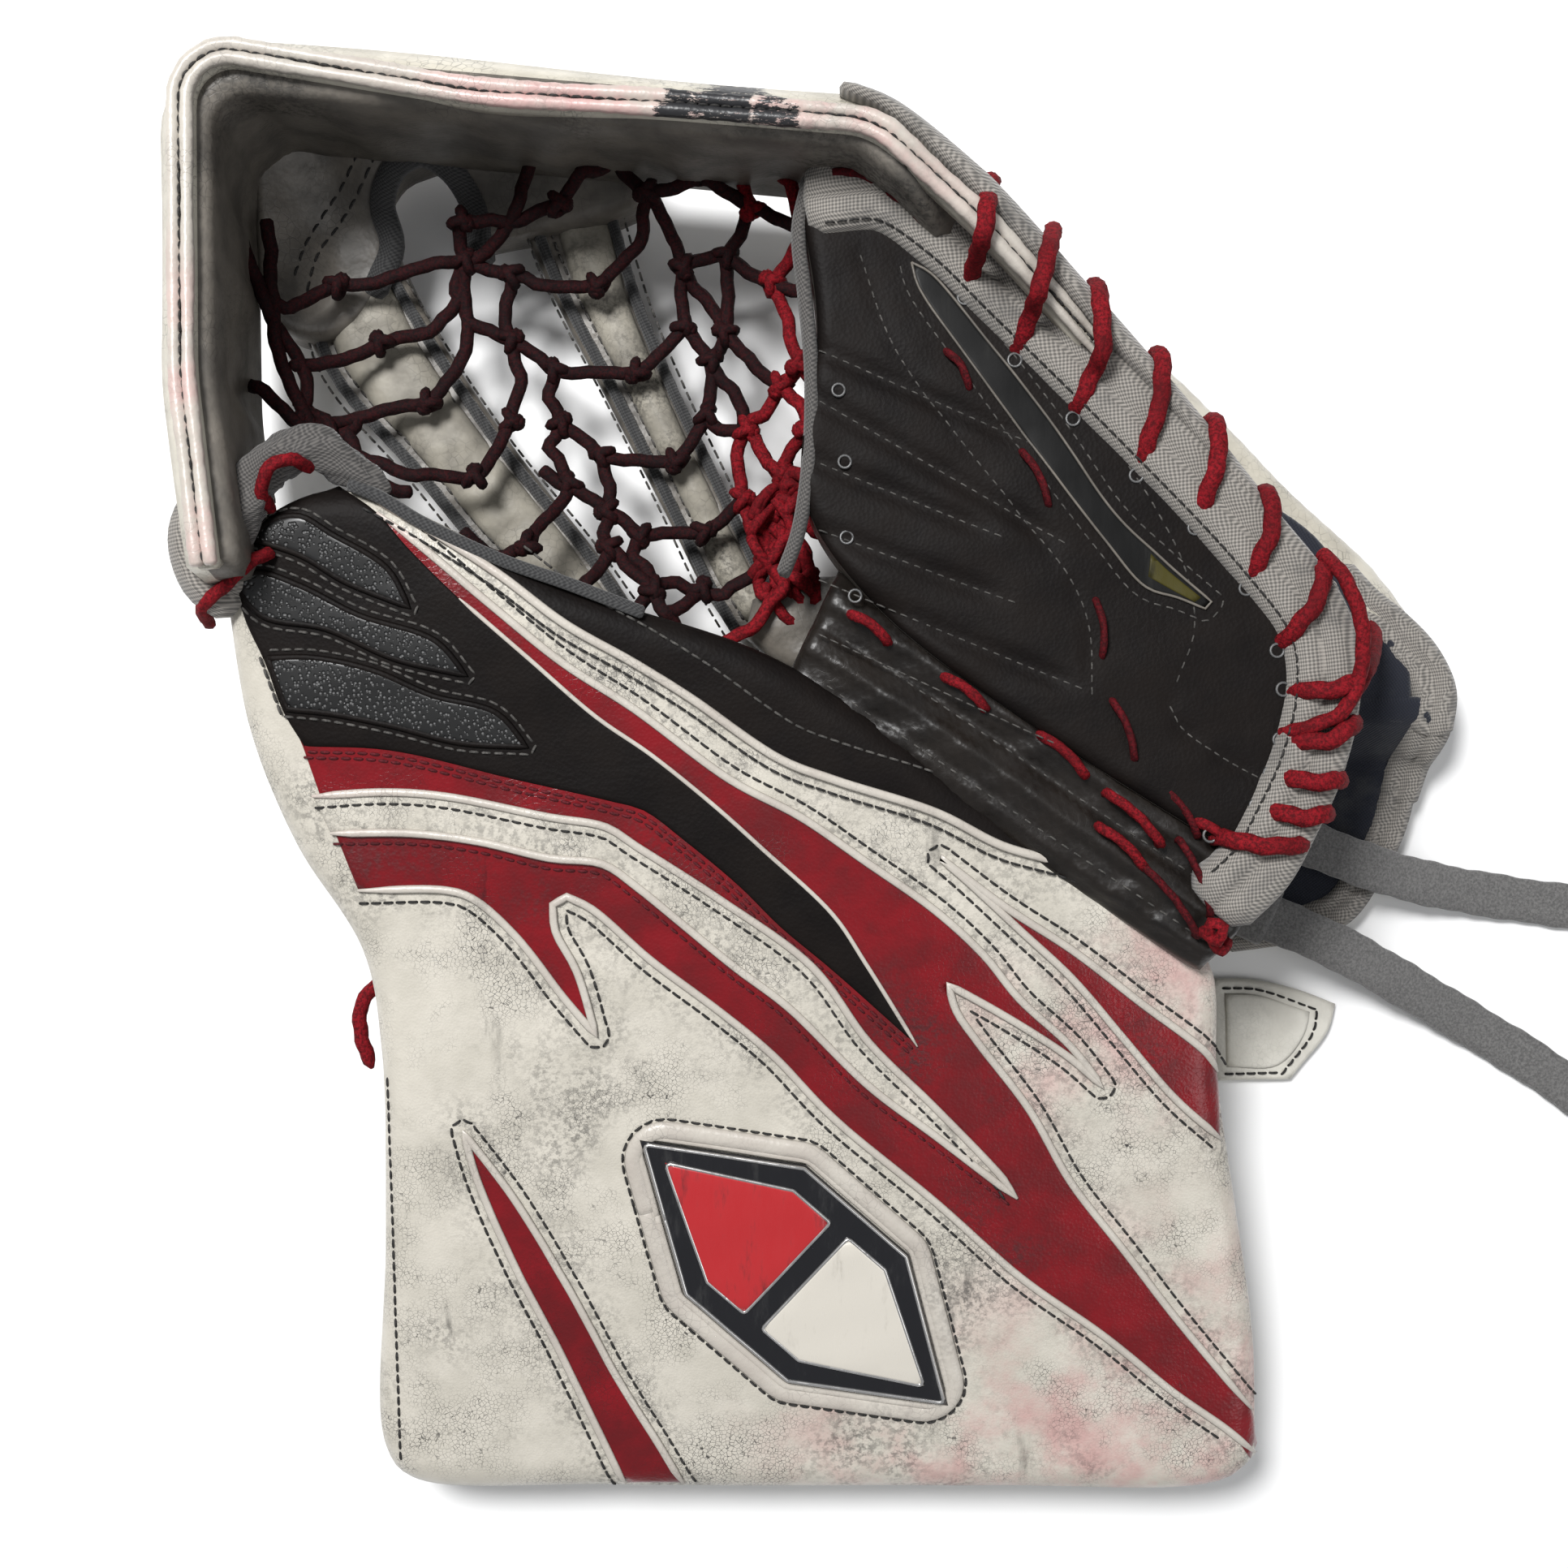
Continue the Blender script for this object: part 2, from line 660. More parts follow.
PALE = leather(
    "pale_leather", (0.62, 0.60, 0.54), (0.52, 0.50, 0.445), (0.12, 0.115, 0.105), wear=0.3,
    crackle=0.2, grain=0.9, low=0.34, high=0.52)
RIM = leather(
    "rim_leather", (0.52, 0.485, 0.43), (0.44, 0.40, 0.355), (0.06, 0.055, 0.055), wear=0.35,
    crackle=0.3, grain=1.1, stain_colour=(0.60, 0.33, 0.32), stains=(
        ((-154, 60, 88), 30, 90, 0.55), ((-40, 165, 88), 30, 90, 0.75)), scars=(
        ((-34, 158, 88), 9, 14), ((-18, 157, 88), 4, 8)))
RED = leather(
    "red_leather", (0.195, 0.0035, 0.008), (0.11, 0.003, 0.0055), (0.012, 0.003, 0.004),
    wear=0.62, crackle=0.35, grain=0.8, low=0.26, high=0.5, streaks=0.75)
DARK = leather(
    "dark_leather", (0.0048, 0.0036, 0.0034), (0.0075, 0.0054, 0.0046), (0.018, 0.015, 0.014),
    wear=0.25, crackle=0.15, grain=0.9, low=0.55, high=0.72, specular=0.11)
ROLL = leather(
    "soft_dark_leather", (0.0135, 0.0105, 0.0085), (0.007, 0.0055, 0.0048), (0.03, 0.027, 0.023),
    wear=0.4, crackle=0.2, grain=1.2, low=0.36, high=0.52, specular=0.4)
GREY = leather(
    "grey_leather", (0.165, 0.148, 0.126), (0.085, 0.077, 0.067), (0.013, 0.013, 0.013),
    wear=0.6, crackle=0.4, grain=1.3, low=0.4, high=0.62, specular=0.4)
LEG = leather(
    "pocket_leather", (0.36, 0.335, 0.28), (0.21, 0.195, 0.165), (0.025, 0.024, 0.022),
    wear=0.75, crackle=0.45, grain=1.3, low=0.5, high=0.7, specular=0.25)
TAPE = fabric("woven_tape", (0.33, 0.305, 0.275), (0.10, 0.094, 0.086), 1.25, 38)
DARK_TAPE = fabric("dark_tape", (0.055, 0.055, 0.055), (0.015, 0.015, 0.016), 1.15, 20)
WORN_TAPE = fabric("worn_tape", (0.12, 0.112, 0.105), (0.035, 0.033, 0.032), 1.15, 12)
NAVY = fabric("navy_lining", (0.0075, 0.0105, 0.022), (0.004, 0.0055, 0.012), 0.9, 10, 0.9, 0.25)
LINER = fabric("beige_liner", (0.40, 0.365, 0.30), (0.27, 0.245, 0.205), 1.6, 0, 0.9, 0.3)


def suede(name, dark, pale):
    """Brushed suede with a fine speckled nap."""
    paint = Paint(name)
    paint.bump(paint.cloud(0.6, 5, 0.75), 0.4, 0.35)
    nap = paint.span(paint.cloud(0.7, 5, 0.7), 0.34, 0.68)
    return paint.done(paint.mix(nap, dark, pale), 0.93, sheen_weight=0.25)


SUEDE = suede("grey_suede", (0.085, 0.083, 0.082), (0.17, 0.166, 0.162))


def lace_paint(name, colour, second):
    """A fibrous cord or thread with duller stretches."""
    paint = Paint(name)
    fibres = paint.cloud(0.8, 4, 0.7)
    result = paint.mix(paint.span(fibres, 0.36, 0.66), second, colour)
    result = paint.mix(paint.span(paint.cloud(15, 3), 0.44, 0.72, 0.0, 0.6), result, second)
    paint.bump(fibres, 0.6, 0.45)
    return paint.done(result, 0.8, specular_ior_level=0.15)


LACE = lace_paint("red_lace", (0.25, 0.007, 0.013), (0.07, 0.003, 0.005))
DULL_LACE = lace_paint("dull_lace", (0.11, 0.005, 0.009), (0.03, 0.003, 0.004))
NET_LACE = lace_paint("net_lace", (0.030, 0.004, 0.005), (0.006, 0.003, 0.0035))
THREAD_DARK = lace_paint("dark_thread", (0.055, 0.052, 0.05), (0.02, 0.02, 0.02))
THREAD_LIGHT = lace_paint("light_thread", (0.125, 0.118, 0.11), (0.05, 0.048, 0.045))
THREAD_RED = lace_paint("red_thread", (0.16, 0.02, 0.028), (0.06, 0.012, 0.014))


def plastic(name, colour, second, rough, coat=0.0, metallic=0.0, specular=0.5):
    """Moulded and scuffed plastic or metal foil."""
    paint = Paint(name)
    drag = paint.cloud(6, 5, 0.7, place=paint.stretched((1, 0.2, 1), -35))
    result = paint.mix(paint.span(drag, 0.55, 0.74, 0.0, 0.8), colour, second)
    paint.bump(paint.cloud(5, 4, 0.6), 0.08, 0.4)
    return paint.done(result, paint.span(drag, 0.4, 0.7, rough, rough + 0.2),
                      metallic=metallic, coat_weight=coat, specular_ior_level=specular)


BADGE_BLACK = plastic("badge_black", (0.006, 0.006, 0.008), (0.03, 0.03, 0.03), 0.16, 0.4)
BADGE_RED = plastic("badge_red", (0.42, 0.018, 0.022), (0.10, 0.01, 0.012), 0.25, 0.3)
BADGE_CREAM = plastic("badge_cream", (0.60, 0.565, 0.50), (0.40, 0.37, 0.32), 0.25, 0.3)
SILVER = plastic("silver_edge", (0.62, 0.61, 0.60), (0.30, 0.29, 0.28), 0.22, 0.0, 0.9)
INSERT_PAINT = plastic(
    "smoked_insert", (0.006, 0.006, 0.006), (0.016, 0.016, 0.015), 0.4, specular=0.14)
WINDOW = plastic("insert_window", (0.05, 0.043, 0.008), (0.015, 0.014, 0.006), 0.35, specular=0.2)

AGED = plastic("aged_metal", (0.13, 0.13, 0.13), (0.04, 0.04, 0.04), 0.42, 0.0, 0.6)


def grip(name, raised, hollow):
    """Moulded rubber mesh: pale ridges round dark hollows."""
    paint = Paint(name)
    holes = paint.cells(1.15, "F1")
    paint.bump(paint.span(holes, 0.12, 0.5), 0.9, 0.6)
    return paint.done(paint.mix(paint.span(holes, 0.18, 0.42), raised, hollow), 0.36)


GRIP = grip("grip_mesh", (0.13, 0.13, 0.13), (0.010, 0.010, 0.010))


# ---------------------------------------------------------------- camera, light and floor

camera_data = bpy.data.cameras.new("photo_camera")
camera_data.lens = 41.93
camera_data.sensor_width = 36.0
camera = bpy.data.objects.new("photo_camera", camera_data)
camera.location = CAMERA_PLACE
bpy.context.scene.collection.objects.link(camera)
bpy.context.scene.camera = camera
bpy.context.scene.view_settings.view_transform = "Standard"


def soft_light(name, place, size, power, aim=(0, 0, 0.03)):
    data = bpy.data.lights.new(name, "AREA")
    data.shape = "DISK"
    data.size = size
    data.energy = power
    light = bpy.data.objects.new(name, data)
    light.location = place
    direction = Vector(aim) - Vector(place)
    light.rotation_euler = direction.to_track_quat("-Z", "Y").to_euler()
    bpy.context.scene.collection.objects.link(light)


soft_light("key_light", (-0.40, 0.52, 1.2), 0.4, 22.0)
soft_light("fill_light", (0.9, -0.5, 1.2), 0.9, 4.0)
world = bpy.data.worlds.new("studio")
world.use_nodes = True
world.node_tree.nodes["Background"].inputs["Color"].default_value = (0.95, 0.97, 1.0, 1)
world.node_tree.nodes["Background"].inputs["Strength"].default_value = 0.3
bpy.context.scene.world = world

floor = Mesh()
FLOOR_HALF = 2500
FLOOR_HEIGHT = -0.4
floor_corners = [(-1, -1), (1, -1), (1, 1), (-1, 1)]
floor.add([(x * FLOOR_HALF, y * FLOOR_HALF, FLOOR_HEIGHT) for x, y in floor_corners],
          [(0, 1, 2, 3)])
floor_paint = Paint("pale_floor")
floor_look = floor_paint.done(
    floor_paint.mix(floor_paint.span(floor_paint.cloud(400, 2), 0.3, 0.7),
                    (0.93, 0.93, 0.93), (0.90, 0.90, 0.90)), 0.8)
floor.make("floor", floor_look)


# ---------------------------------------------------------------- the two straps

STRAP_WIDTH = 12.0
STRAP_THICK = 2.5
STRAP_LIFT = STRAP_THICK / 2 + 0.1
UPPER_ROUTE = [(116, -6, 20), (134, -13.5, 17.5), (155, -19.5, 8.5), (177, -23.5, STRAP_LIFT),
               (205, -27.5, STRAP_LIFT), (236, -29, STRAP_LIFT)]
LOWER_ROUTE = [(110, -27.5, 20), (129, -35, 17.5), (150, -46.5, 8.5), (172, -59, STRAP_LIFT),
               (198, -75, STRAP_LIFT), (222, -94, STRAP_LIFT)]


def route_line(route):
    """Points along the smooth curve that the route's points control."""
    curve = bpy.data.curves.new("route", "CURVE")
    curve.dimensions = "3D"
    spline = curve.splines.new("NURBS")
    spline.points.add(len(route) - 1)
    for point, place in zip(spline.points, route):
        point.co = (*[c * MM for c in place], 1)
    spline.order_u = 3
    spline.use_endpoint_u = True
    spline.resolution_u = 16
    holder = bpy.data.objects.new("route", curve)
    bpy.context.scene.collection.objects.link(holder)
    data = bpy.data.meshes.new_from_object(holder)
    line = [vertex.co.copy() / MM for vertex in data.vertices]
    bpy.data.objects.remove(holder)
    bpy.data.meshes.remove(data)
    return line


def strap(name, route):
    """A cut suede strap: flat, its edges a little soft, its end pinked by wear."""
    line = route_line(route)
    mesh = Mesh()

    def section(share, travelled):
        half = STRAP_WIDTH / 2 * (1 + 0.025 * math.sin(travelled * 0.31)
                                  + 0.02 * math.sin(travelled * 0.83 + 1))
        thick = STRAP_THICK / 2
        lift = 0.15 * math.sin(travelled * 0.55)
        return [(-half, -thick * 0.5), (-half * 0.93, -thick), (0, -thick), (half * 0.93, -thick),
                (half, -thick * 0.5), (half, thick * 0.4), (half * 0.93, thick),
                (half * 0.4, thick + lift * 0.4), (0, thick), (-half * 0.4, thick - lift * 0.4),
                (-half * 0.93, thick), (-half, thick * 0.4)]

    sweep(mesh, line, section, up=UP, cap=0.2)
    piece = mesh.make(name, SUEDE)
    carried(piece, "wrist_flap", name, slot="grey_leather")


strap("upper_strap", UPPER_ROUTE)
strap("lower_strap", LOWER_ROUTE)


# ---------------------------------------------------------------- the cuff

CUFF_PIVOT = 40.0
CUFF_SLOPE = 0.1705
CUFF_BOARD = 27.0


def cuff_plane(x, y):
    return 64 + CUFF_SLOPE * (y - CUFF_PIVOT)


def cuff_top(x, y):
    """The padded face of the cuff, a little uneven, tucked in at the foot of the red panel."""
    return cuff_plane(x, y) + 0.5 * swell(x, y, 75, 0.4) + 0.18 * swell(x, y, 21, 2.0)


CUFF_OUTLINE = [(-138, 72), (-151, 60), (-146, 20), (-136, -8), (-121, -34), (-117, -60),
                (-118, -110), (-120, -165), (-113, -174), (-60, -176.3), (40, -176.5), (98, -175),
                (107, -168), (105, -135), (99, -100), (93, -66), (91, -40), (85.5, -32.4),
                (34, 2.3), (-17.5, 37.1), (-67, 54), (-120, 77)]

RED_UPPER = [(-112, 71), (-104, 65), (-85, 49), (-69, 36), (-52, 25), (-29, 8), (-12, -1), (4, -12),
             (21, -24), (33, -35), (42, -46), (55, -58), (63, -68)]
RED_NOTCH = [(63, -68), (55, -61), (43, -53), (31, -46), (24.5, -42.5), (26.5, -49), (32, -57),
             (45, -74), (56, -93), (70, -111), (83, -128), (97, -145), (104.5, -154), (107.5, -165)]
RED_LOWER = [(105, -168), (98, -159), (84, -149), (66, -134), (44, -118), (22, -98), (-4, -76),
             (-19, -60), (-32, -49), (-49, -36), (-63, -23.5), (-69, -20.5), (-72.5, -22.5),
             (-72, -29), (-67, -39), (-62.5, -55), (-70, -46), (-82, -30), (-92, -21), (-98, -19),
             (-120, -19)]
RED_PANEL = RED_UPPER + RED_NOTCH[1:] + RED_LOWER + [(-124, -8), (-128, 3), (-132, 16), (-135, 26),
                                                    (-128, 40), (-120, 62)]
BLACK_UPPER = [(-112, 71), (-105, 63), (-93, 51), (-77, 37), (-61, 23), (-48, 14), (-32, 1),
               (-21, -9), (-4, -25), (4, -37), (17, -58)]
BLACK_LOWER = [(17, -58), (-4, -39), (-17, -28), (-27, -18), (-40, -7), (-50, 0.5), (-57, 2.5),
               (-81, 8), (-111, 15), (-131.5, 16)]
WHITE_TOP = [(-130, 4), (-112, 5), (-98, 4), (-73, -1), (-59, -3.5), (-52, -8), (-32, -21),
             (-9, -38), (5, -57), (22, -74), (39, -92), (42.5, -97)]
WHITE_FOOT = [(42.5, -97), (22, -81), (5, -68), (-15, -48), (-28, -38), (-40, -28), (-52, -18),
              (-60, -12.5), (-73, -11), (-90, -7), (-106, -5), (-126, -5)]
SPEAR = [(22, -11), (38, -23), (55, -34), (72, -47), (89, -60), (92.5, -65), (93.5, -82),
         (81, -71), (68, -56), (55, -41), (42, -29), (29, -17)]
SPIKE = [(-96, -80), (-84, -97), (-71, -120), (-59, -144), (-47, -165), (-42, -174.5),
         (-57, -174.5), (-65, -156), (-74, -136), (-84, -115), (-93, -92)]
STRIPE_TOP = [(-114, 75), (-103, 69), (-84, 57), (-68, 45), (-52, 36), (-39, 28), (-17, 13),
              (-4, 8), (21, 0), (37, -8), (54, -13), (71, -21), (82, -26), (88, -31)]
DARK_UPPER = [(-117, 76)] + STRIPE_TOP[1:] + [(85.5, -32.4), (34, 2.3), (-17.5, 37.1), (-67, 54),
                                             (-118, 77)]


def edge_fall(x, y):
    """How far the cuff's own rounded edge has dropped at x, y."""
    points = numpy.stack([numpy.atleast_1d(numpy.asarray(x, float)),
                          numpy.atleast_1d(numpy.asarray(y, float))], 1)
    share = numpy.clip(distance_to(points, CUFF_RING) / 7.5, 0, 1)
    inside = within(points, CUFF_RING)
    share = numpy.where(inside, share, 0)
    return (1 - numpy.sqrt(1 - (1 - share) ** 2)) * 6.0


CUFF_RING = numpy.array([tuple(p) for p in smooth_line(CUFF_OUTLINE, 4.0)])


def cuff_skin(x, y):
    """The cuff's outer surface with its rounded edges."""
    fall = edge_fall(x, y)
    if numpy.ndim(x) == 0:
        fall = fall[0]
    return cuff_top(x, y) - fall


def inlay(mesh, outline, lift, spacing=3.0):
    """A thin leather panel laid on the cuff."""
    board(mesh, outline, lambda x, y: cuff_skin(x, y) + lift, lambda x, y: cuff_skin(x, y) - 0.6,
          edge=1.2, drop=0.5, under=0.0, spacing=spacing)


SEAM_PATHS = [RED_UPPER + RED_NOTCH[1:] + RED_LOWER, SPEAR, SPIKE, WHITE_TOP + WHITE_FOOT[1:],
              STRIPE_TOP + STRIPE_TOP[-2:0:-1]]


def mark_seams(piece, paths, reach):
    """Stores how near each point of the piece is to a sewn line, for its rubbed-in grime."""
    points = numpy.array([tuple(v.co)[:2] for v in piece.data.vertices]) / MM
    nearest = numpy.full(len(points), 1e9)
    for path in paths:
        ring = numpy.array([tuple(p) for p in smooth_line(path, 3.0)])
        nearest = numpy.minimum(nearest, distance_to(points, ring))
    attribute = piece.data.attributes.new("seam_wear", "FLOAT", "POINT")
    attribute.data.foreach_set("value", numpy.exp(-((nearest / reach) ** 2)))


cuff = Mesh()
board(cuff, CUFF_OUTLINE, cuff_top, lambda x, y: numpy.maximum(cuff_plane(x, y) - CUFF_BOARD, 0.4),
      edge=7.5, drop=6.0, under=3.0, spacing=3.0, slots=(0, 1, 2))
cuff_piece = cuff.make("cuff_board", WHITE, CREAM, LINER)
mark_seams(cuff_piece, SEAM_PATHS, 8.0)
soft(cuff_piece, "cuff_face_leather", "cuff_edge_gusset", "cuff_foam", "cuff_stiffener",
     "cuff_back_leather", slot="white_leather", fill=0.9)

reds = Mesh()
inlay(reds, RED_PANEL, 0.45)
inlay(reds, SPEAR, 0.45, spacing=2.5)
inlay(reds, SPIKE, 0.45, spacing=2.5)
soft(reds.make("red_panels", RED), "red_inlays", slot="red_leather")

darks = Mesh()
inlay(darks, BLACK_UPPER + BLACK_LOWER[1:] + [(-136, 24), (-140, 36), (-145, 48), (-146, 60),
                                             (-136, 72), (-122, 78)], 0.85)
inlay(darks, DARK_UPPER, 0.6)
soft(darks.make("dark_panels", DARK), "dark_thumb_panel", slot="dark_leather")

band = Mesh()
inlay(band, WHITE_TOP + WHITE_FOOT[1:], 1.0, spacing=2.5)
band_piece = band.make("white_bands", WHITE)
mark_seams(band_piece, SEAM_PATHS[3:4], 6.0)
soft(band_piece, slot="white_leather")

lips = Mesh()


def lip(points, lift, radius=1.0):
    """A narrow raised leather lip along an inlay's border."""
    line = laid(smooth_line(points, 2.5, closed=False), cuff_skin, lift)
    tube(lips, line, radius, sides=8, flat=0.55, up=UP, taper=0.04)


lip(RED_UPPER + RED_NOTCH[1:-1], 0.7)
lip([(106.5, -166.5)] + RED_LOWER[1:], 0.7)
lip(SPEAR[6:] + SPEAR[:6], 0.7)
lip(SPIKE[6:] + SPIKE[:6], 0.7)
lip(WHITE_TOP, 1.2)
lip(WHITE_FOOT, 1.2)
lip(STRIPE_TOP, 1.0, 1.1)
lip(BLACK_UPPER[2:], 1.0, 0.55)
soft(lips.make("inlay_lips", RIM), slot="white_leather")

seams = Mesh()


def seam(points, distance, lift, slot=0, pitch=3.0):
    line = smooth_line(points, 2.0, closed=False)
    line = beside(line, distance) if distance else line
    stitches(seams, line, cuff_skin, pitch=pitch, lift=lift, slot=slot)


seam(RED_UPPER + RED_NOTCH[1:-1], 3.2, 0.35)
seam(RED_LOWER[1:], 3.2, 0.35)
seam(SPEAR[6:] + SPEAR[:6], 3.0, 0.35)
seam(SPIKE[6:] + SPIKE[:6], 3.0, 0.35)
seam(WHITE_TOP, -2.8, 1.2)
seam(WHITE_FOOT, 2.6, 0.7, 1)
seam(STRIPE_TOP, -3.2, 1.1)
seam(STRIPE_TOP[2:], 9.0, 0.8, 2)
seam(BLACK_LOWER, 2.6, 0.7, 1)
seam(BLACK_LOWER, 1.2, 0.7, 1)
seam([(-115, -66), (-115, -168)], 0.0, 0.2)
soft(seams.make("cuff_stitching", THREAD_DARK, THREAD_RED, THREAD_LIGHT), slot="dark_leather")

GRIPS = [
    [(-142, 65), (-137, 69), (-130, 70), (-123, 66), (-110, 58), (-105, 49), (-120, 55),
     (-130, 61)],
    [(-146, 54), (-141, 57), (-131, 54), (-117, 47), (-99, 41), (-92, 33), (-109, 37), (-125, 44),
     (-140, 47)],
    [(-139, 37), (-128, 37), (-114, 34), (-100, 28), (-85, 24), (-78, 16), (-94, 17), (-110, 21),
     (-125, 24), (-135, 25)],
]
grips = Mesh()
grip_edges = Mesh()
for patch in GRIPS:
    inlay(grips, patch, 1.5, spacing=2.2)
    around = smooth_line(patch, 2.0)
    tube(grip_edges, laid(around + around[:1], cuff_skin, 1.1), 0.8, sides=6, flat=0.6,
         up=UP)
    stitches(grip_edges, beside(around + around[:1], 1.9), cuff_skin, lift=1.0, slot=1)
soft(grips.make("grip_patches", GRIP), "thumb_grip_mesh", slot="grip_mesh")
soft(grip_edges.make("grip_borders", DARK, THREAD_LIGHT), slot="dark_leather")

BADGE_MIDDLE = Vector((-13, -117))
BADGE_TURN = math.radians(-42)
BADGE_HALF = (52.5, 23.0)


def turned(points):
    return [tuple(BADGE_MIDDLE + Vector((
        a * math.cos(BADGE_TURN) - b * math.sin(BADGE_TURN),
        a * math.sin(BADGE_TURN) + b * math.cos(BADGE_TURN)))) for a, b in points]


def badge_line(grow):
    """The badge's six-sided outline, grown or shrunk all round."""
    half_x = BADGE_HALF[0] + grow * 1.83
    shoulder = BADGE_HALF[0] / 3 + grow * 0.30
    half_y = BADGE_HALF[1] + grow
    return turned([(-half_x, 0), (-shoulder, half_y), (shoulder, half_y), (half_x, 0),
                   (shoulder, -half_y), (-shoulder, -half_y)])


INSET_X = 44.0
INSET_Y = 16.2
RED_INSET = turned([(-3, -INSET_Y), (-3, INSET_Y), (-15.5, INSET_Y), (-INSET_X, 0),
                    (-15.5, -INSET_Y)])
CREAM_INSET = turned([(3, INSET_Y), (3, -INSET_Y), (15.5, -INSET_Y), (INSET_X, 0),
                      (15.5, INSET_Y)])


def badge_piece(name, outline, low, high, paint, edge, *nodes, slot=None):
    mesh = Mesh()
    board(mesh, outline, lambda x, y: cuff_skin(x, y) + high, lambda x, y: cuff_skin(x, y) + low,
          edge=edge, spacing=2.6, under=0.0, corner=20)
    carried(mesh.make(name, paint), "cuff", *nodes, slot=slot)


badge_piece("badge_plate", badge_line(0), -0.6, 2.2, BADGE_BLACK, 0.8, "badge_plate",
            slot="badge_black")
badge_piece("badge_red_inset", RED_INSET, 1.0, 3.0, BADGE_RED, 0.7, "badge_red_inset",
            slot="badge_red")
badge_piece("badge_cream_inset", CREAM_INSET, 1.0, 3.0, BADGE_CREAM, 0.7, "badge_light_inset",
            slot="badge_cream")
silver = Mesh()
for outline, height in ((badge_line(-0.8), 2.2), (RED_INSET, 2.5), (CREAM_INSET, 2.5)):
    tube(silver, laid(fillet_loop(outline, 0.8, 2.0), cuff_skin, height), 0.5, sides=6)
carried(silver.make("badge_bevels", SILVER), "cuff", slot="badge_black")
halo = Mesh()
for grow, radius, lift, rounding in ((3.4, 2.3, 0.3, 8), (1.2, 0.9, 0.6, 4)):
    ring = fillet_loop(badge_line(grow), rounding, 2.0)
    tube(halo, laid(ring, cuff_skin, lift), radius, sides=10, flat=0.45, up=UP)
stitches(halo, fillet_loop(badge_line(6.2), 11, 2.0), cuff_skin, lift=0.25, slot=1)
carried(halo.make("badge_surround", RIM, THREAD_DARK), "cuff", "badge_surround",
        slot="white_leather")

# A loose lace end that shows at the cuff's side.
lace_end = Mesh()
tube(lace_end, smooth_line([Vector(p) for p in ((-116, -43, 21), (-121, -44.5, 25), (-125.5, -50, 26),
                                                (-126, -58, 25), (-123.5, -67, 23.5))],
                           1.6, closed=False, corner=170), 1.9, sides=10, flat=0.9, braid=0.1,
     pitch=6, taper=0.1)
carried(lace_end.make("cuff_lace_end", LACE), "cuff", slot="red_lace")


# ---------------------------------------------------------------- the palm

PALM_TOP = 64.0
PALM_FOOT = 46.0
PALM_OUTLINE = off_break(9, 0.0, 0.345) + [(-11, 76), (-8, 117), (-12, 146), (-6, 151), (20, 152),
                                          (54, 119), (101, 70), (119, 47), (121, 30), (117, 10),
                                          (108, -8), (103, -16)]
QUILT_LINES = [((-8, 111), (44, 88)), ((-8, 99), (52, 64)), ((-8, 84), (36, 66)),
               ((-8, 68), (40, 50)), ((-8, 56), (57, 29)), ((-8, 43), (48, 17))]
LONG_QUILT = [(2, 134), (10, 112), (24, 92), (40, 72), (53, 55), (57, 44), (57.5, 28)]
INSERT = [(14.5, 131.5), (19, 129), (32, 113.5), (48, 93), (63, 71.5), (74, 61), (86, 50.5),
          (84.5, 48.8), (78, 51.5), (70.5, 54), (60, 66), (43.5, 87.5), (28, 108.5), (16, 126)]
SHIN_QUILT = [(76, 26), (79, 20.5), (88.5, 13.5), (101.4, 6.4)]


def palm_top(x, y):
    """The palm's face: softly dished, pressed in along its sewn channels."""
    height = PALM_TOP + 0.45 * swell(x, y, 62, 1.1) + 0.2 * swell(x, y, 19, 0.2)
    for start, end in QUILT_LINES:
        height = height - groove(x, y, start, end, 2.3, 1.3)
    for start, end in zip(LONG_QUILT, LONG_QUILT[1:]):
        height = height - groove(x, y, start, end, 1.8, 0.35)
    for start, end in zip(SHIN_QUILT, SHIN_QUILT[1:]):
        height = height - groove(x, y, start, end, 2.0, 0.8)
    return height


palm = Mesh()
board(palm, PALM_OUTLINE, palm_top, level(PALM_FOOT), edge=3.5, drop=2.5, under=2.0,
      spacing=1.9, slots=(0, 1, 2))
soft(palm.make("palm_face", DARK, GREY, NAVY), "palm_leather", "palm_foam", "palm_stiffener",
     "palm_lining", slot="dark_leather", fill=0.8)

palm_seams = Mesh()


def palm_seam(points, pitch=3.0, distance=0.0):
    line = smooth_line(points, 2.0, closed=False)
    if distance:
        line = beside(line, distance)
    stitches(palm_seams, line, palm_top, pitch=pitch, length=2.0, radius=0.22, lift=0.06)


for start, end in QUILT_LINES:
    palm_seam([start, end])
palm_seam(LONG_QUILT)
palm_seam(SHIN_QUILT, 2.6)
palm_seam([(60, 92), (72, 74), (80, 58), (82, 44), (78, 32)], 3.4)
palm_seam(INSERT + INSERT[:1], distance=2.8)
soft(palm_seams.make("palm_stitching", THREAD_LIGHT), slot="dark_leather")

insert = Mesh()
board(insert, INSERT, lambda x, y: palm_top(x, y) + 0.5, lambda x, y: palm_top(x, y) - 0.8,
      edge=0.8, drop=0.4, under=0.0, spacing=2.4)
soft(insert.make("palm_insert", INSERT_PAINT), "palm_insert", slot="plastic_sheet")
window = Mesh()
board(window, [(71.5, 62), (75, 58.6), (83.5, 51.5), (82, 50.4), (77.5, 52.8), (71, 56.5)],
      lambda x, y: palm_top(x, y) + 0.75, lambda x, y: palm_top(x, y) - 0.2, edge=0.5, drop=0.25,
      under=0.0, spacing=2.0)
soft(window.make("insert_window", WINDOW), slot="plastic_sheet")
insert_edge = Mesh()
line = smooth_line(INSERT, 2.0)
tube(insert_edge, laid(line + line[:1], palm_top, 0.45), 0.34, sides=6, up=UP)
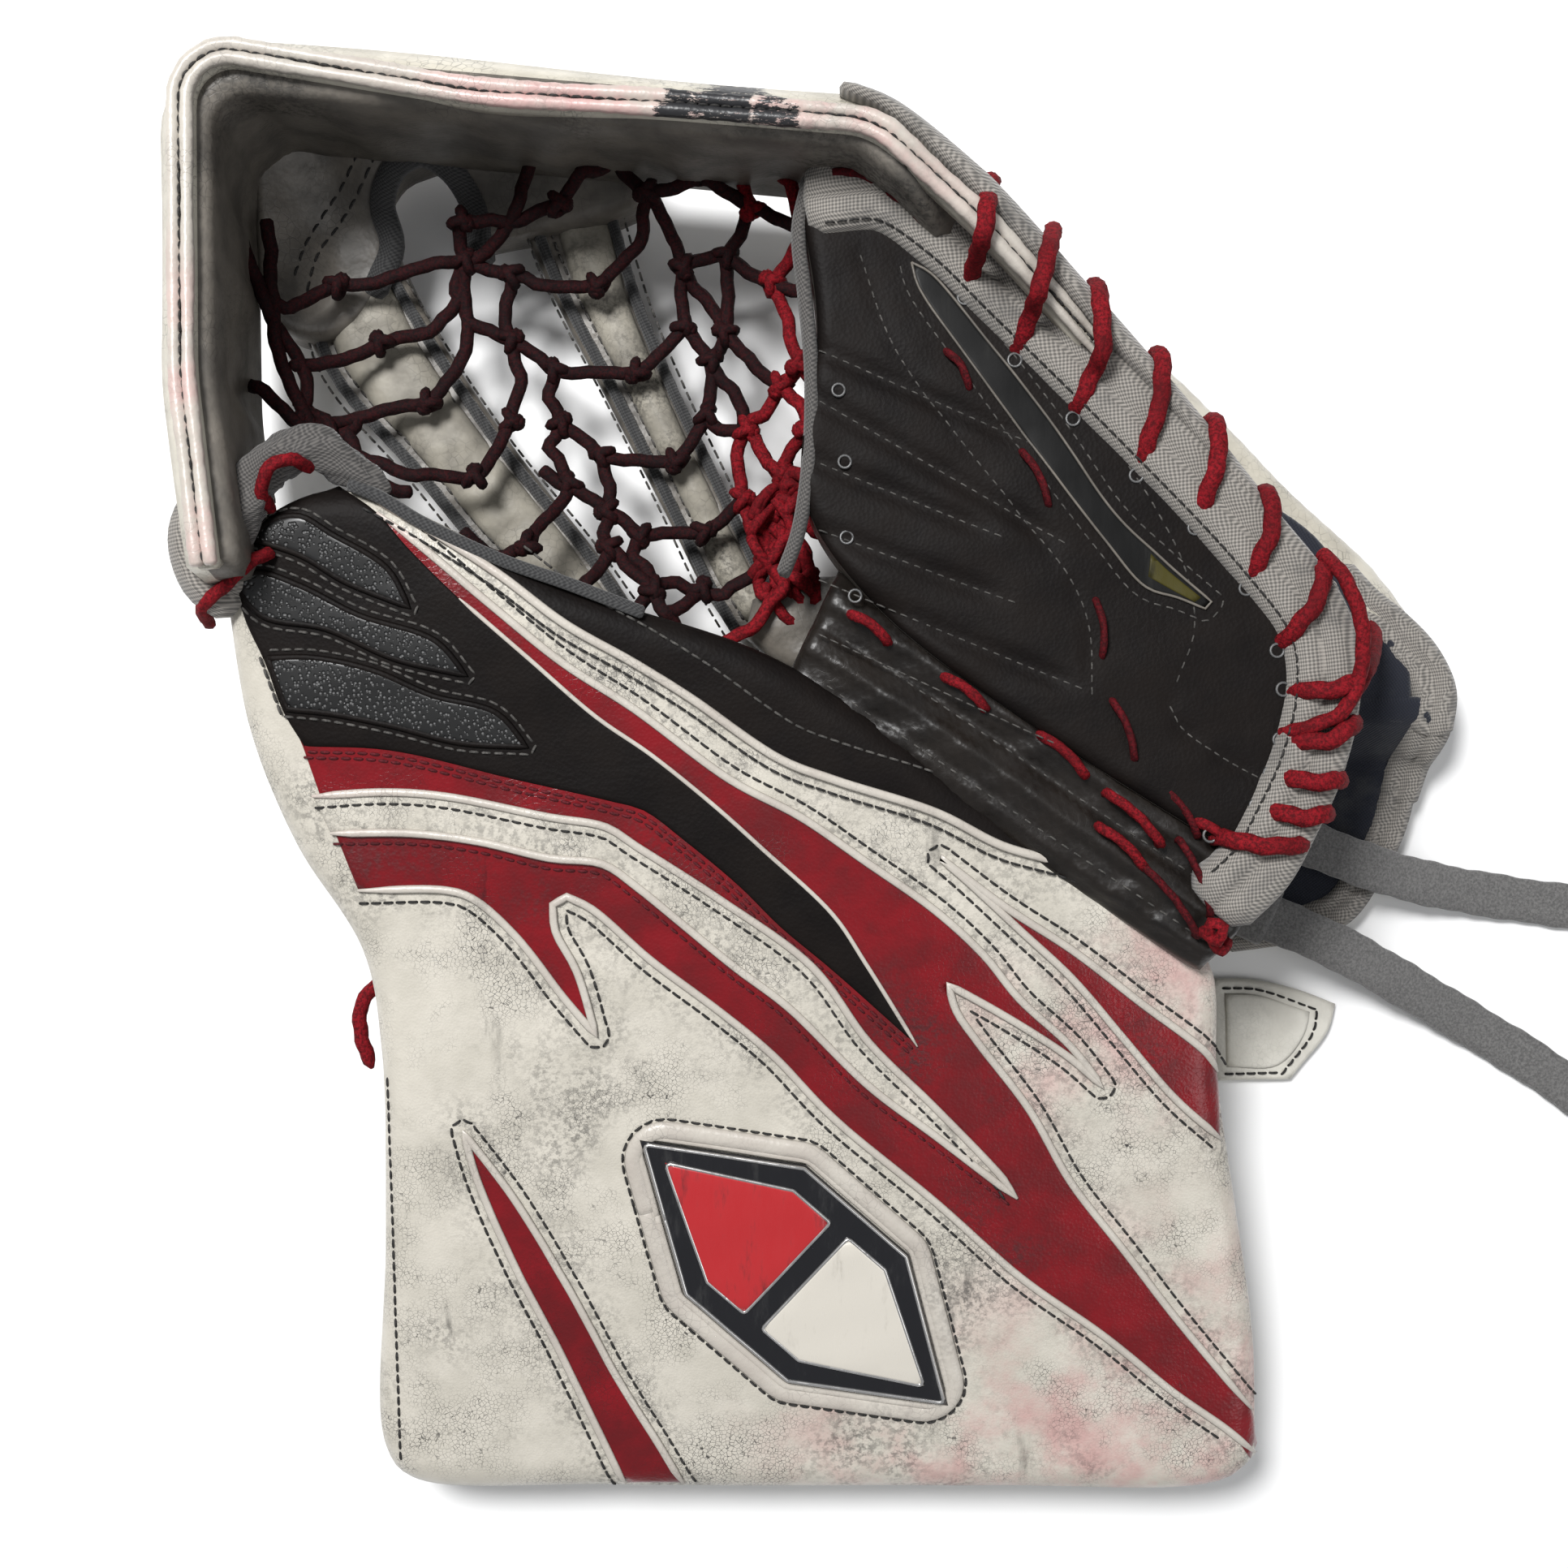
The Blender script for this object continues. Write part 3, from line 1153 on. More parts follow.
soft(insert_edge.make("insert_border", GREY), slot="grey_leather")


# ---------------------------------------------------------------- the break between the two

def break_height(x, y):
    """The rolled leather over the break: two long pads with a valley between them."""
    across = (x - BREAK_START.x) * BREAK_ACROSS.x + (y - BREAK_START.y) * BREAK_ACROSS.y
    along = (x - BREAK_START.x) * BREAK_ALONG.x + (y - BREAK_START.y) * BREAK_ALONG.y
    first = 5.2 * numpy.exp(-((across - 5.5) / 5.0) ** 2)
    second = 5.4 * numpy.exp(-((across + 6.5) / 5.0) ** 2)
    third = 2.6 * numpy.exp(-((across + 14.5) / 3.0) ** 2)
    wrinkle = 0.6 * numpy.sin(along * 0.42 + across * 0.6) * swell(x, y, 34, 0.6)
    fine = 0.5 * numpy.sin(across * 1.6 + 1.6 * numpy.sin(along * 0.06)) + 0.3 * swell(x, y, 8, 3)
    return 55.8 + first + second + third + wrinkle + fine


ROLL_OUTLINE = off_break(-19.5, 0.0, 0.06, 0.20, 0.32, 0.385) + off_break(
    12.5, 0.40, 0.30, 0.12, 0.0, -0.022) + off_break(-19.0, -0.012)
rolls = Mesh()
board(rolls, ROLL_OUTLINE, break_height,
      lambda x, y: 42 + 8.0 * numpy.clip((x - 72) / 22, 0, 1), edge=3.5, drop=3.5, under=2,
      spacing=1.7)
soft(rolls.make("break_roll", ROLL), "break_roll", slot="dark_leather", fill=0.7)

roll_seams = Mesh()
for across, first, last in ((-1.0, 0.02, 0.37), (-12.6, 0.0, 0.36), (10.8, 0.03, 0.36)):
    ends = off_break(across, first, last)
    line = smooth_line(ends, 2.0, closed=False)
    stitches(roll_seams, line, break_height, pitch=3.6, radius=0.26, lift=0.15)
soft(roll_seams.make("break_stitching", THREAD_LIGHT), slot="dark_leather")


# ---------------------------------------------------------------- tapes and laces on the edge

EDGE_PATH = [(-7, 147), (8, 147.5), (23, 138), (38, 123.5), (68, 94), (97.5, 63), (110.5, 45),
             (112.6, 30), (108.8, 12), (102.5, -2), (97, -12), (89, -20)]
edge_line = smooth_line(EDGE_PATH, 2.0, closed=False)


def tape_section(half, rise, foot, wave):
    """A section of padded tape: two swells with a sewn valley between."""
    def section(share, travelled):
        puff = (1 + wave * math.sin(travelled * 0.42) + 0.5 * wave * math.sin(travelled * 1.1)
                + 3.2 * wave * abs(math.sin(travelled * math.pi / 18.6)))
        top = [(-half, 0.2), (-half * 0.9, rise * 0.55), (-half * 0.55, rise * 0.98 * puff),
               (-half * 0.18, rise * 0.9 * puff), (-half * 0.02, rise * 0.62),
               (half * 0.14, rise * 0.95 * puff), (half * 0.55, rise * 1.05 * puff),
               (half * 0.9, rise * 0.45), (half, -rise * 0.3), (half * 0.98, foot)]
        return top[::-1] + [(-half * 0.2, foot), (-half * 0.95, -1.0)]
    return section


edge_tape = edging(EDGE_PATH, level(PALM_TOP + 0.4), tape_section(9.0, 2.9, -13.0, 0.05))
soft(edge_tape.make("palm_edge_tape", TAPE), "palm_edge_tape", slot="woven_tape", fill=0.6)
tape_seams = Mesh()
for distance, lift in ((7.3, 1.2), (-6.9, 2.6)):
    stitches(tape_seams, beside(edge_line, distance), level(PALM_TOP + 0.5), pitch=2.9,
             radius=0.25, lift=lift)
soft(tape_seams.make("tape_stitching", THREAD_DARK), slot="woven_tape")

LACE_RADIUS = 2.15
# Where each lace turn leaves its eyelet, where it crests the tape, and where it goes under.
LACE_TURNS = [
    ((27.5, 124.5), (31, 136.5), (32.5, 147)), ((39.5, 109.5), (44, 123), (47.5, 137)),
    ((53.5, 95.5), (59, 109), (58.5, 125)), ((68.5, 82), (72.5, 96), (73.5, 109)),
    ((82.5, 69.5), (86, 82), (86.5, 93)), ((94.8, 55), (98.8, 66), (99, 76)),
    ((102.5, 40), (109, 49), (112, 58)), ((104.5, 29.5), (112.5, 29), (120, 31.5)),
    ((103.8, 17.5), (112, 17), (119.5, 21.5)), ((101.5, 9.2), (108.5, 7.4), (116.2, 8)),
    ((98.0, 1.4), (106, -1), (113, 0)), ((87, -5.5), (97, -7.6), (107, -7.5)),
]
laces = Mesh()
eyelets = Mesh()


def rim_cover(x):
    """How high a lace has to pass to clear the rim and its tape at x."""
    return float(numpy.interp(x, [20, 34, 46, 58, 70], [88.5, 85.2, 80.5, 75.5, 70.0]))


def bend_up(points, step=1.6):
    """A smooth line through places in space, with no sharp corner."""
    return smooth_line(points, step, closed=False, corner=170)


def eyelet(mesh, x, y, radius, lift, wire):
    """A small metal ring set in the palm's face."""
    height = float(palm_top(x, y)) + lift
    turns = [2 * math.pi * k / 14 for k in range(15)]
    circle = [Vector((x + radius * math.cos(a), y + radius * math.sin(a), height)) for a in turns]
    tube(mesh, circle, wire, sides=6)


def as_seen(place, low, high):
    """The place at height high that the camera sees over the same spot at height low."""
    eye = Vector(CAMERA_PLACE[:2]) / MM
    far = CAMERA_PLACE[2] / MM
    moved = eye + (Vector(place) - eye) * (far - high) / (far - low)
    return (moved.x, moved.y, high)


for start, crest, end in LACE_TURNS:
    out = (Vector(end) - Vector(crest)).normalized()
    middle = Vector(crest).lerp(Vector(end), 0.62)
    over = rim_cover(middle.x)
    fall = Vector(end) + out * 1.6
    path = bend_up([(*start, 61.5), (start[0] + (crest[0] - start[0]) * 0.22,
                                     start[1] + (crest[1] - start[1]) * 0.22, 66.3),
                    as_seen(Vector(start).lerp(Vector(crest), 0.7), 68, max(69.4, over - 8)),
                    as_seen(crest, 69.9, over), as_seen(middle, 69.9, over),
                    as_seen(end, 66.6, max(66.6, over - 6)), (*fall, max(60.5, over - 13)),
                    (*(fall - out * 3.0), 53.5)])
    tube(laces, path, LACE_RADIUS, sides=10, flat=0.72, braid=0.1, pitch=7.0, up=UP)
    eye = Vector(start) - (Vector(crest) - Vector(start)).normalized() * 1.4
    eyelet(eyelets, eye.x, eye.y, 1.6, 0.2, 0.36)
long_lace = bend_up([(112.5, 62, 64), (115.5, 56, 70.5), (119.5, 45, 71.5), (119.5, 33, 70.5),
                     (115.5, 24, 69.8), (108, 20.5, 69), (103, 19, 64)])
tube(laces, long_lace, 1.8, sides=10, flat=0.85, braid=0.09, pitch=7)
side_lace = bend_up([(137.5, 48, 22), (135.5, 45.5, 32), (130, 39, 48), (123.5, 33, 62), (119, 27, 65),
                     (117, 21, 60)])
tube(laces, side_lace, 1.8, sides=10, flat=0.9, braid=0.09, pitch=7)
soft(laces.make("finger_lacing", LACE), "finger_lacing", slot="red_lace")
soft(eyelets.make("lacing_eyelets", AGED), "lacing_eyelets", slot="eyelet_metal")

# Short red running laces over the break and the palm.
SHORT_LACES = [
    ((0.5, 47.5), (8.5, 41.5), 62.5), ((23, 32.5), (32, 25.5), 62.0), ((46, 18.5), (56, 9.5), 62.0),
    ((75, 6), (83, -5), 62.5), ((62, 4.5), (74, -7), 63.0), ((60, -3.5), (70, -12.5), 62.4),
    ((83, -2), (90, -7.5), 63.5), ((70.5, -13), (83, -29), 62.5), ((79, -7), (86, -24), 63.6),
    ((58.5, 50.5), (60, 38), 64.4), ((62.5, 26.5), (67.5, 13.5), 64.8),
    ((23, 110), (28, 102), 64.6), ((41, 86), (47, 74), 64.6), ((-5, 152), (6, 150), 66.4),
    ((9, 147), (17, 139.5), 66.6),
]
short = Mesh()
for start, end, height in SHORT_LACES:
    a = Vector((*start, height))
    b = Vector((*end, height))
    bow = Vector((-(b - a).y, (b - a).x, 0)).normalized() * 0.8
    path = bend_up([a - (b - a).normalized() * 0.6 - Vector((0, 0, 4)), a, a.lerp(b, 0.5) + bow
                    + Vector((0, 0, 1.3)), b, b + (b - a).normalized() * 0.6 - Vector((0, 0, 4))])
    dull = abs((b - a).normalized().y) > 0.75 or a.y > 70
    tube(short, path, 1.05 if dull else 1.35, sides=8, flat=0.85, braid=0.1, pitch=6,
         slot=1 if dull else 0)
knot = bend_up([(84, -28, 63), (87, -30.5, 66), (88, -27, 67.5), (85.5, -26, 66), (86, -30, 64),
                (89, -33, 62), (91, -31, 59)])
tube(short, knot, 1.4, sides=8, braid=0.1, pitch=6)
soft(short.make("break_lace", LACE, DULL_LACE), "break_lace", slot="red_lace")


# ---------------------------------------------------------------- band, rim and their laces

BAND_FOOT = 24.0
BAND_TOP = 84.6
BAND_ROUTE = [(-147, 58), (-153, 100), (-154, 173), (-50, 164), (4, 159), (24, 142)]
band_line = rounded_line(BAND_ROUTE, [90, 15, 160, 12], 3.0)


def band_section(share, travelled):
    """The pocket wall: a cream outer skin, a grey inner skin that bulges and creases."""
    crease = 0.9 * math.sin(travelled * 0.16) + 0.5 * math.sin(travelled * 0.41 + 2)
    flare = 1.1 * math.sin(travelled * 0.045 + 1)
    outer = [(7, 24), (7.0, 34), (6.8 + flare * 0.4, 48), (6.8 + flare, 62), (7.4 + flare * 0.5, 73),
             (6.4 + flare * 0.5, 79), (2.0, 83.6)]
    inner = [(-5.6, 84.6), (-7.0, 81.5), (-7.0, 74), (-6.2 + crease, 63),
             (-4.8 + crease * 1.2, 50), (-3.4 + crease, 38), (-2.2, 28), (-1.0, 24)]
    fall = 1 - 0.22 * max(0.0, (share - 0.955) / 0.045) ** 1.5
    return [(a, (b - 24) * fall) for a, b in outer + inner]


outer_inner = [1] * 7 + [0] * 8
wall = Mesh()
feet = [Vector((p.x, p.y, BAND_FOOT)) for p in band_line]
sweep(wall, feet, lambda s, t: [(-a, b) for a, b in band_section(s, t)][::-1], up=UP,
      slots=outer_inner[::-1])
soft(wall.make("pocket_wall", GREY, CREAM), "band_thumb_leather", "band_thumb_foam",
     "band_corner_leather", "band_corner_foam", "band_finger_leather", "band_finger_foam",
     slot="grey_leather", fill=0.7)

RIM_ROUTE = [(-147, 57), (-152, 100), (-152.5, 174.5), (-84, 163), (-40, 160.5), (4, 157), (30, 136),
             (61, 108)]
rim_flat = rounded_line(RIM_ROUTE, [90, 11, 150, 150, 20, 300], 2.0)


def rim_height(x, y):
    """The rim's height: level round the pocket, falling along the finger edge."""
    return float(numpy.interp(x if y < 160 and x > 0 else 0, [8, 30, 48, 62], [88, 82, 74, 65.5]))


rim_line = laid(rim_flat, rim_height)
rim = Mesh()


def piping(distance):
    """One rolled piping, puckered by its sewing, beside the rim's middle line."""
    flat = beside(rim_flat, distance)
    line = laid(flat, rim_height)

    def section(share, travelled):
        size = 1.6 + 0.12 * math.sin(travelled * 1.9) + 0.08 * math.sin(travelled * 3.1 + 1)
        size += 0.14 * math.sin(travelled * 0.21)
        size *= 1 - 0.7 * max(0.0, (share - 0.9) / 0.1) ** 1.5
        return [(size * math.cos(2 * math.pi * k / 10), size * 1.05 * math.sin(2 * math.pi * k / 10))
                for k in range(10)]
    sweep(rim, line, section, up=UP)


piping(1.55)
piping(-1.55)
soft(rim.make("rim_piping", RIM), "rim_thumb_piping", "rim_corner_piping", "rim_finger_piping",
     slot="white_leather")
rim_under = Mesh()
sweep(rim_under, [p - Vector((0, 0, 3.0)) for p in rim_line],
      lambda s, t: [(-2.9, -2.5), (2.9, -2.5), (2.6, 0.6), (0, 1.3), (-2.6, 0.6)], up=UP)
soft(rim_under.make("rim_backing", CREAM), slot="white_leather")
rim_seams = Mesh()
stitches(rim_seams, rim_flat, lambda x, y: rim_height(x, y) + 0.7, pitch=2.6, length=1.9,
         radius=0.3)
soft(rim_seams.make("rim_stitching", THREAD_DARK), slot="white_leather")

# The worn tape outside the rim at the finger edge, and the padded fill beneath it.
outer_tape = Mesh()
tape_run = bend_up([(-2, 160, 88), (6, 156.5, 87.5), (30, 137.5, 81.5), (50, 120, 74), (70, 101, 69),
                    (88, 82, 66.5), (102, 66, 65)], 2.0)


def outer_tape_section(share, travelled):
    width = 3.2 + 3.0 * min(1.0, share * 4) - 1.6 * share
    near = 3.4 - 4.0 * share
    puff = 0.35 * math.sin(travelled * 0.5)
    return [(near, -7), (near, -0.4), (near + 1.2, 1.0 + puff), (near + width * 0.55, 0.4 + puff),
            (near + width, -2.6), (near + width, -10), (near + width * 0.4, -12)]


sweep(outer_tape, tape_run, lambda s, t: [(-a, b) for a, b in outer_tape_section(s, t)][::-1],
      up=UP)
soft(outer_tape.make("finger_edge_tape", TAPE), "rim_finger_pad", slot="woven_tape")

side = Mesh()
SIDE_OUTLINE = [(14, 140), (28, 140), (60, 112), (104, 66), (118, 45), (114, 40), (98, 56),
                (54, 100), (22, 128)]
board(side, SIDE_OUTLINE, level(62), level(19.5), edge=4, drop=5,
      under=3, spacing=4)
soft(side.make("finger_side_wall", CREAM), "finger_side_wall", slot="white_leather", fill=0.7)

# The cut tape round the thumb's tip, its lace and the rolled tape behind it.
tip = Mesh()
tip_line = bend_up([(-141, 78, 66), (-149, 75, 70), (-154, 66, 71), (-152, 56, 69),
                    (-147, 52, 66)])
sweep(tip, tip_line, tape_section(7.0, 2.2, -9.0, 0.09), up=UP)
roll_line = bend_up([(-147, 60, 70.5), (-142, 71, 73.0), (-137, 81, 73.5), (-127, 86, 72),
                     (-119, 82, 69), (-111, 76, 66.5)])


def crumpled(share, travelled):
    """A cloth roll that has been crushed: its folds wander round it."""
    ends = 1 - 0.5 * abs(2 * share - 1) ** 3
    ring = []
    for k in range(24):
        angle = 2 * math.pi * k / 24
        fold = (1 + 0.13 * math.sin(3 * angle + travelled * 0.33) + 0.08 * math.sin(
            5 * angle - travelled * 0.52) + 0.05 * math.sin(8 * angle + travelled * 0.9))
        ring.append((5.0 * ends * fold * math.cos(angle), 3.9 * ends * fold * math.sin(angle)))
    return ring


sweep(tip, roll_line, crumpled, up=UP, slots=[1] * 24)
soft(tip.make("thumb_tip_tape", TAPE, WORN_TAPE), "thumb_tip_tape", slot="woven_tape")
tip_lace = Mesh()
for points in (
    [(-155, 46, 58), (-153.5, 49, 68), (-147, 53.5, 72), (-140.5, 59, 73.5), (-137.5, 61.5, 69)],
    [(-137, 72, 70), (-137, 75, 77), (-134.5, 80, 79.6), (-130, 82, 78.5), (-127, 81, 73)],
):
    tube(tip_lace, bend_up(points), 1.8, sides=10, flat=0.85, braid=0.1, pitch=6.5)
soft(tip_lace.make("thumb_tip_lace", LACE), "thumb_tip_lace", slot="red_lace")

# The dark tape that binds the cuff's edge along the pocket.
pocket_tape = edging(
    [(-118, 77.5), (-111, 74.5), (-102, 69), (-84, 60.5), (-67, 54.5), (-50, 48)], cuff_plane,
    lambda s, t: [(1.4, -5), (1.6, -0.6), (1.2, 0.5), (0, 0.9 - 1.2 * s + 0.2 * math.sin(t * 0.5)),
                  (-1.2, 0.4), (-1.6, -0.9), (-1.5, -5)][::-1], lift=0.2, step=2.5)
soft(pocket_tape.make("pocket_edge_tape", DARK_TAPE), slot="woven_tape")


# ---------------------------------------------------------------- the pocket's T and its legs

T_FOOT = 8.2
LEG_FACE = 17.6
WELT_STITCH = 3.2
CROSSBAR = [(-150.5, 130), (-151.5, 175), (-146, 178), (-57, 175), (-54, 158), (-64, 154),
            (-88, 150), (-95, 148.5), (-96.5, 158), (-101, 166), (-109, 170), (-117, 166.5),
            (-121.5, 158), (-119, 147), (-125, 132), (-134, 124), (-145, 124)]
LEFT_LEG = [(-145, 134), (-141, 122), (-116, 91), (-92, 64), (-70, 52), (-53, 49), (-64, 66),
            (-86, 94), (-104, 120), (-116, 142), (-121, 154), (-134, 150)]
RIGHT_LEG = [(-88, 160), (-78, 138), (-62, 107), (-46, 76), (-37, 58), (-28, 45), (-14, 49),
             (-22, 62), (-33, 85), (-44, 108), (-54, 130), (-62, 160)]


def crossbar_top(x, y):
    """The crossbar's face, turning up a little where it meets the walls."""
    return (22.8 + 1.1 * swell(x, y, 34, 0.5) + 0.4 * swell(x, y, 13, 1.5)
            + 9.0 * numpy.clip((y - 152) / 22, 0, 1) ** 1.4
            + 9.0 * numpy.clip((-132 - x) / 18, 0, 1) ** 1.4)


crossbar = Mesh()
board(crossbar, CROSSBAR, crossbar_top, level(T_FOOT), edge=3.5, drop=3, under=2,
      spacing=2.6)
soft(crossbar.make("t_crossbar", GREY), "t_crossbar", slot="grey_leather", fill=0.6)
arch = edging(
    [(-94.5, 146), (-95.5, 157), (-101, 166.5), (-109, 170.5), (-117.5, 167), (-122, 158),
     (-120, 148), (-124, 137)], crossbar_top,
    lambda s, t: [(-4.6, -1), (-4.2, 0.9), (-1.5, 1.7 + 0.3 * math.sin(t * 0.9)), (1.4, 1.3),
                  (2.4, -1), (2, -8), (-2, -8)][::-1])
soft(arch.make("crossbar_binding", DARK_TAPE), slot="woven_tape")
bar_seams = Mesh()
for points in ([(-140, 134), (-137, 146), (-127, 160), (-118, 174)],
               [(-143, 138), (-139, 150), (-130, 163), (-122, 175)]):
    stitches(bar_seams, smooth_line(points, 2.0, closed=False), crossbar_top, pitch=4.2,
             length=3.0, radius=0.34, lift=0.1)
soft(bar_seams.make("crossbar_stitching", THREAD_DARK), slot="grey_leather")


def leg_panel(points, ribs):
    """The padded face of a leg: bulges between creases that cross it."""
    axis = Vector(points[1]) - Vector(points[0])
    length = axis.length
    axis.normalize()

    def top(x, y):
        along = (x - points[0][0]) * axis.x + (y - points[0][1]) * axis.y
        across = (x - points[0][0]) * -axis.y + (y - points[0][1]) * axis.x
        phase = (along + 0.12 * across + 2.2 * swell(x, y, 40, 0.7)) / length * ribs
        bulge = numpy.abs(numpy.sin(math.pi * phase)) ** 0.4
        side = (across / 17) ** 2
        return 19.6 + 2.3 * bulge - 1.6 * side + 0.5 * swell(x, y, 11, 1.0)
    return top


LEG_PARTS = {
    "thumb": (LEFT_LEG, [(-139, 141), (-133, 118), (-111, 92), (-89, 67), (-72, 56), (-62, 56),
                         (-73, 71), (-95, 98), (-111, 121), (-121, 140), (-129, 148)],
              ((-130, 136), (-74, 60)), 5,
              [[(-141, 139), (-135.5, 117), (-113, 90), (-91, 65), (-70, 52.5)],
               [(-125, 152), (-118, 138), (-106.5, 119), (-90, 95), (-68, 68), (-58, 54)]]),
    "finger": (RIGHT_LEG, [(-77, 158), (-72, 140), (-57, 110), (-41, 78), (-33, 60), (-26, 50),
                           (-19, 52), (-26, 66), (-37, 88), (-48, 112), (-57, 134), (-63, 158)],
               ((-68, 152), (-26, 58)), 5,
               [[(-83, 159), (-76, 140), (-60.5, 110), (-45, 79), (-36, 60), (-29, 48)],
                [(-62, 158), (-54.5, 133), (-45, 110), (-34, 87), (-23, 64), (-17, 51)]]),
}
for side_name, (outline, panel, axis, ribs, welts) in LEG_PARTS.items():
    base = Mesh()
    board(base, outline, lambda x, y: LEG_FACE + 0.5 * swell(x, y, 12, 2.0), level(T_FOOT),
          edge=2.2, spacing=3.0)
    for points in welts:
        line = smooth_line(points, 2.0, closed=False)
        tube(base, [Vector((p.x, p.y, 18.6)) for p in line], 1.5, sides=8, braid=0.05, pitch=3.4,
             slot=1)
        for distance in (WELT_STITCH, -WELT_STITCH):
            stitches(base, beside(line, distance), level(LEG_FACE + 0.1), pitch=3.4, lift=0.6,
                     slot=2)
    soft(base.make(f"t_leg_{side_name}_binding", GREY, DARK_TAPE, THREAD_LIGHT),
         *(["t_leg_binding"] if side_name == "thumb" else []), slot="woven_tape")
    face = Mesh()
    board(face, panel, leg_panel(axis, ribs), level(14), edge=5.5, drop=3.6,
          under=1.0, spacing=2.0)
    soft(face.make(f"t_leg_{side_name}_side", LEG), f"t_leg_{side_name}_side",
         slot="white_leather", fill=0.8)

heel = Mesh()
HEEL = [(-24, 54), (-14, 59), (-2, 60), (5, 52), (1, 38), (-8, 33), (-18, 38), (-26, 45)]
board(heel, HEEL, lambda x, y: 39 + 0.8 * swell(x, y, 14, 0.3), level(20.6), edge=5,
      drop=5, under=3, spacing=2.5)
soft(heel.make("t_heel_pad", GREY), "t_heel_pad", slot="grey_leather", fill=0.8)


# ---------------------------------------------------------------- the net of knotted lace

NET_EDGE = numpy.array([(-145, 84), (-150, 160), (-10, 156), (-10, 62), (-30, 44), (-110, 78)],
                       float)


def net_height(x, y):
    """The net hangs from its edges and sags to just above the legs."""
    share = min(1.0, float(distance_to(numpy.array([[x, y]], float), NET_EDGE)[0]) / 34)
    return 26.6 + 18.5 * (1 - share) ** 2


NET_KNOTS = {
    "a": (-131, 135), "b": (-120, 121), "c": (-108, 106), "d": (-98, 150), "e": (-98, 141),
    "f": (-86, 138), "g": (-64, 136), "h": (-73, 153), "i": (-59, 165), "j": (-50, 155),
    "k": (-42, 140), "l": (-87, 122), "m": (-75, 114), "n": (-54, 114), "o": (-42, 126),
    "p": (-74, 100), "q": (-63, 92), "r": (-44, 91), "s": (-87, 101), "t": (-95, 85),
    "u": (-61, 77), "v": (-53, 71), "w": (-37, 72), "x": (-71, 84), "y": (-80, 67),
    "z": (-49, 56), "A": (-35, 116), "B": (-31, 123), "C": (-17, 108), "D": (-26, 98),
    "E": (-36, 102), "F": (-10, 95), "G": (-17, 86), "H": (-27, 80), "I": (-20, 75),
    "J": (-12, 112), "K": (-20, 64), "L": (-31, 142), "M": (-19, 134), "N": (-24, 152),
    "O": (-37, 160), "P": (-37, 56), "Q": (-60, 67), "R": (-11, 146),
}
# Each strand runs through knots by letter, or through plain places between them.
NET_STRANDS = [
    [(-146, 128), (-142, 127), "a", (-116, 138), (-104, 141), "e"],
    [(-140, 113), (-135, 114), "b", (-108, 124), (-101, 131), "e"],
    [(-139, 98), (-126, 101), "c", (-100, 116), (-98, 127), "e"],
    ["e", "d", (-90, 150), (-82, 150), "h", (-67, 160), "i", (-56, 169)],
    ["e", (-90, 145), (-83, 153), (-79, 165), (-70, 170), (-58, 171)],
    ["e", "f", (-80, 136), "g", (-52, 146), "j"],
    ["j", "i"], ["j", "O", (-39, 168)], ["j", (-46, 149), "k"], ["f", (-88, 131), "l"],
    ["e", (-101, 134), (-98, 127), "l"], ["l", "m", "n", "o", "k"],
    ["l", (-84, 111), "s", "t", (-101, 85), (-109, 85), (-117, 88), (-126, 91)],
    ["m", (-77, 107), "p"], ["p", "q", "r", "E"], ["q", (-61, 84), "u"],
    ["p", (-77, 94), (-73, 88), "x"], ["x", (-76, 75), "y", (-88, 64), (-96, 70)],
    [(-78, 88), (-70, 83), "u"], ["u", "v", "w", "H"], ["u", (-62, 71), "Q", (-56, 62), "z"],
    ["v", (-54, 64), (-50, 60), "z"], ["Q", (-66, 57), (-68, 52)], ["z", (-54, 49), (-58, 45)],
    ["z", (-46, 50), (-43, 46)], ["z", (-43, 58), "P", (-31, 55), (-27, 58), "K"],
    [(-46, 50), (-41, 52), "P"], ["o", "A", "E", (-31, 98), "D"], ["B", "A"],
    ["k", (-36, 132), "B"], ["L", "B"], ["B", (-25, 116), "C"], ["A", (-29, 108), "D"],
    ["D", (-21, 101), "C", "J", (-15, 124), "M"], ["J", (-6, 106), (-2, 104)],
    ["C", (-12, 102), "F"], ["D", (-22, 92), "G"], ["F", "G"], ["F", (-5, 90), (-2, 88)],
    ["G", (-11, 84), (-3, 78)], ["D", (-28, 89), "H", (-24, 71), "K"], ["G", "I"],
    [(-15, 85), (-17, 76), "I"], ["I", "K"], ["k", "L", "M", (-8, 130), (-3, 128)],
    ["L", "N", "R", (-4, 150)], ["O", "N"], ["N", (-27, 162), (-26, 168)], ["M", "R"],
    ["R", (-14, 156), (-18, 164)], ["K", (-16, 56), (-22, 48), (-28, 44), (-36, 41)],
    ["K", (-12, 58), (-6, 52), (-6, 44)], [(-12, 66), (-8, 54), (-12, 44), (-16, 42)],
    [(-139, 98), (-137, 108), (-141, 118), (-146, 128), (-150, 138), (-156, 148)],
    [(-134, 92), (-139, 104), (-144, 120), (-145, 134), (-146, 148)],
    [(-134, 92), (-128, 97), (-126, 101)], [(-134, 92), (-140, 99), (-147, 106), (-152, 109)],
    [(-134, 92), (-127, 87), (-118, 83), (-110, 80)], [(-128, 97), (-124, 88), (-119, 82)],
    [(-139, 104), (-133, 100), (-128, 86)],
]
net = Mesh()


def strand_place(item):
    x, y = NET_KNOTS[item] if isinstance(item, str) else item
    return Vector((x, y, net_height(x, y)))


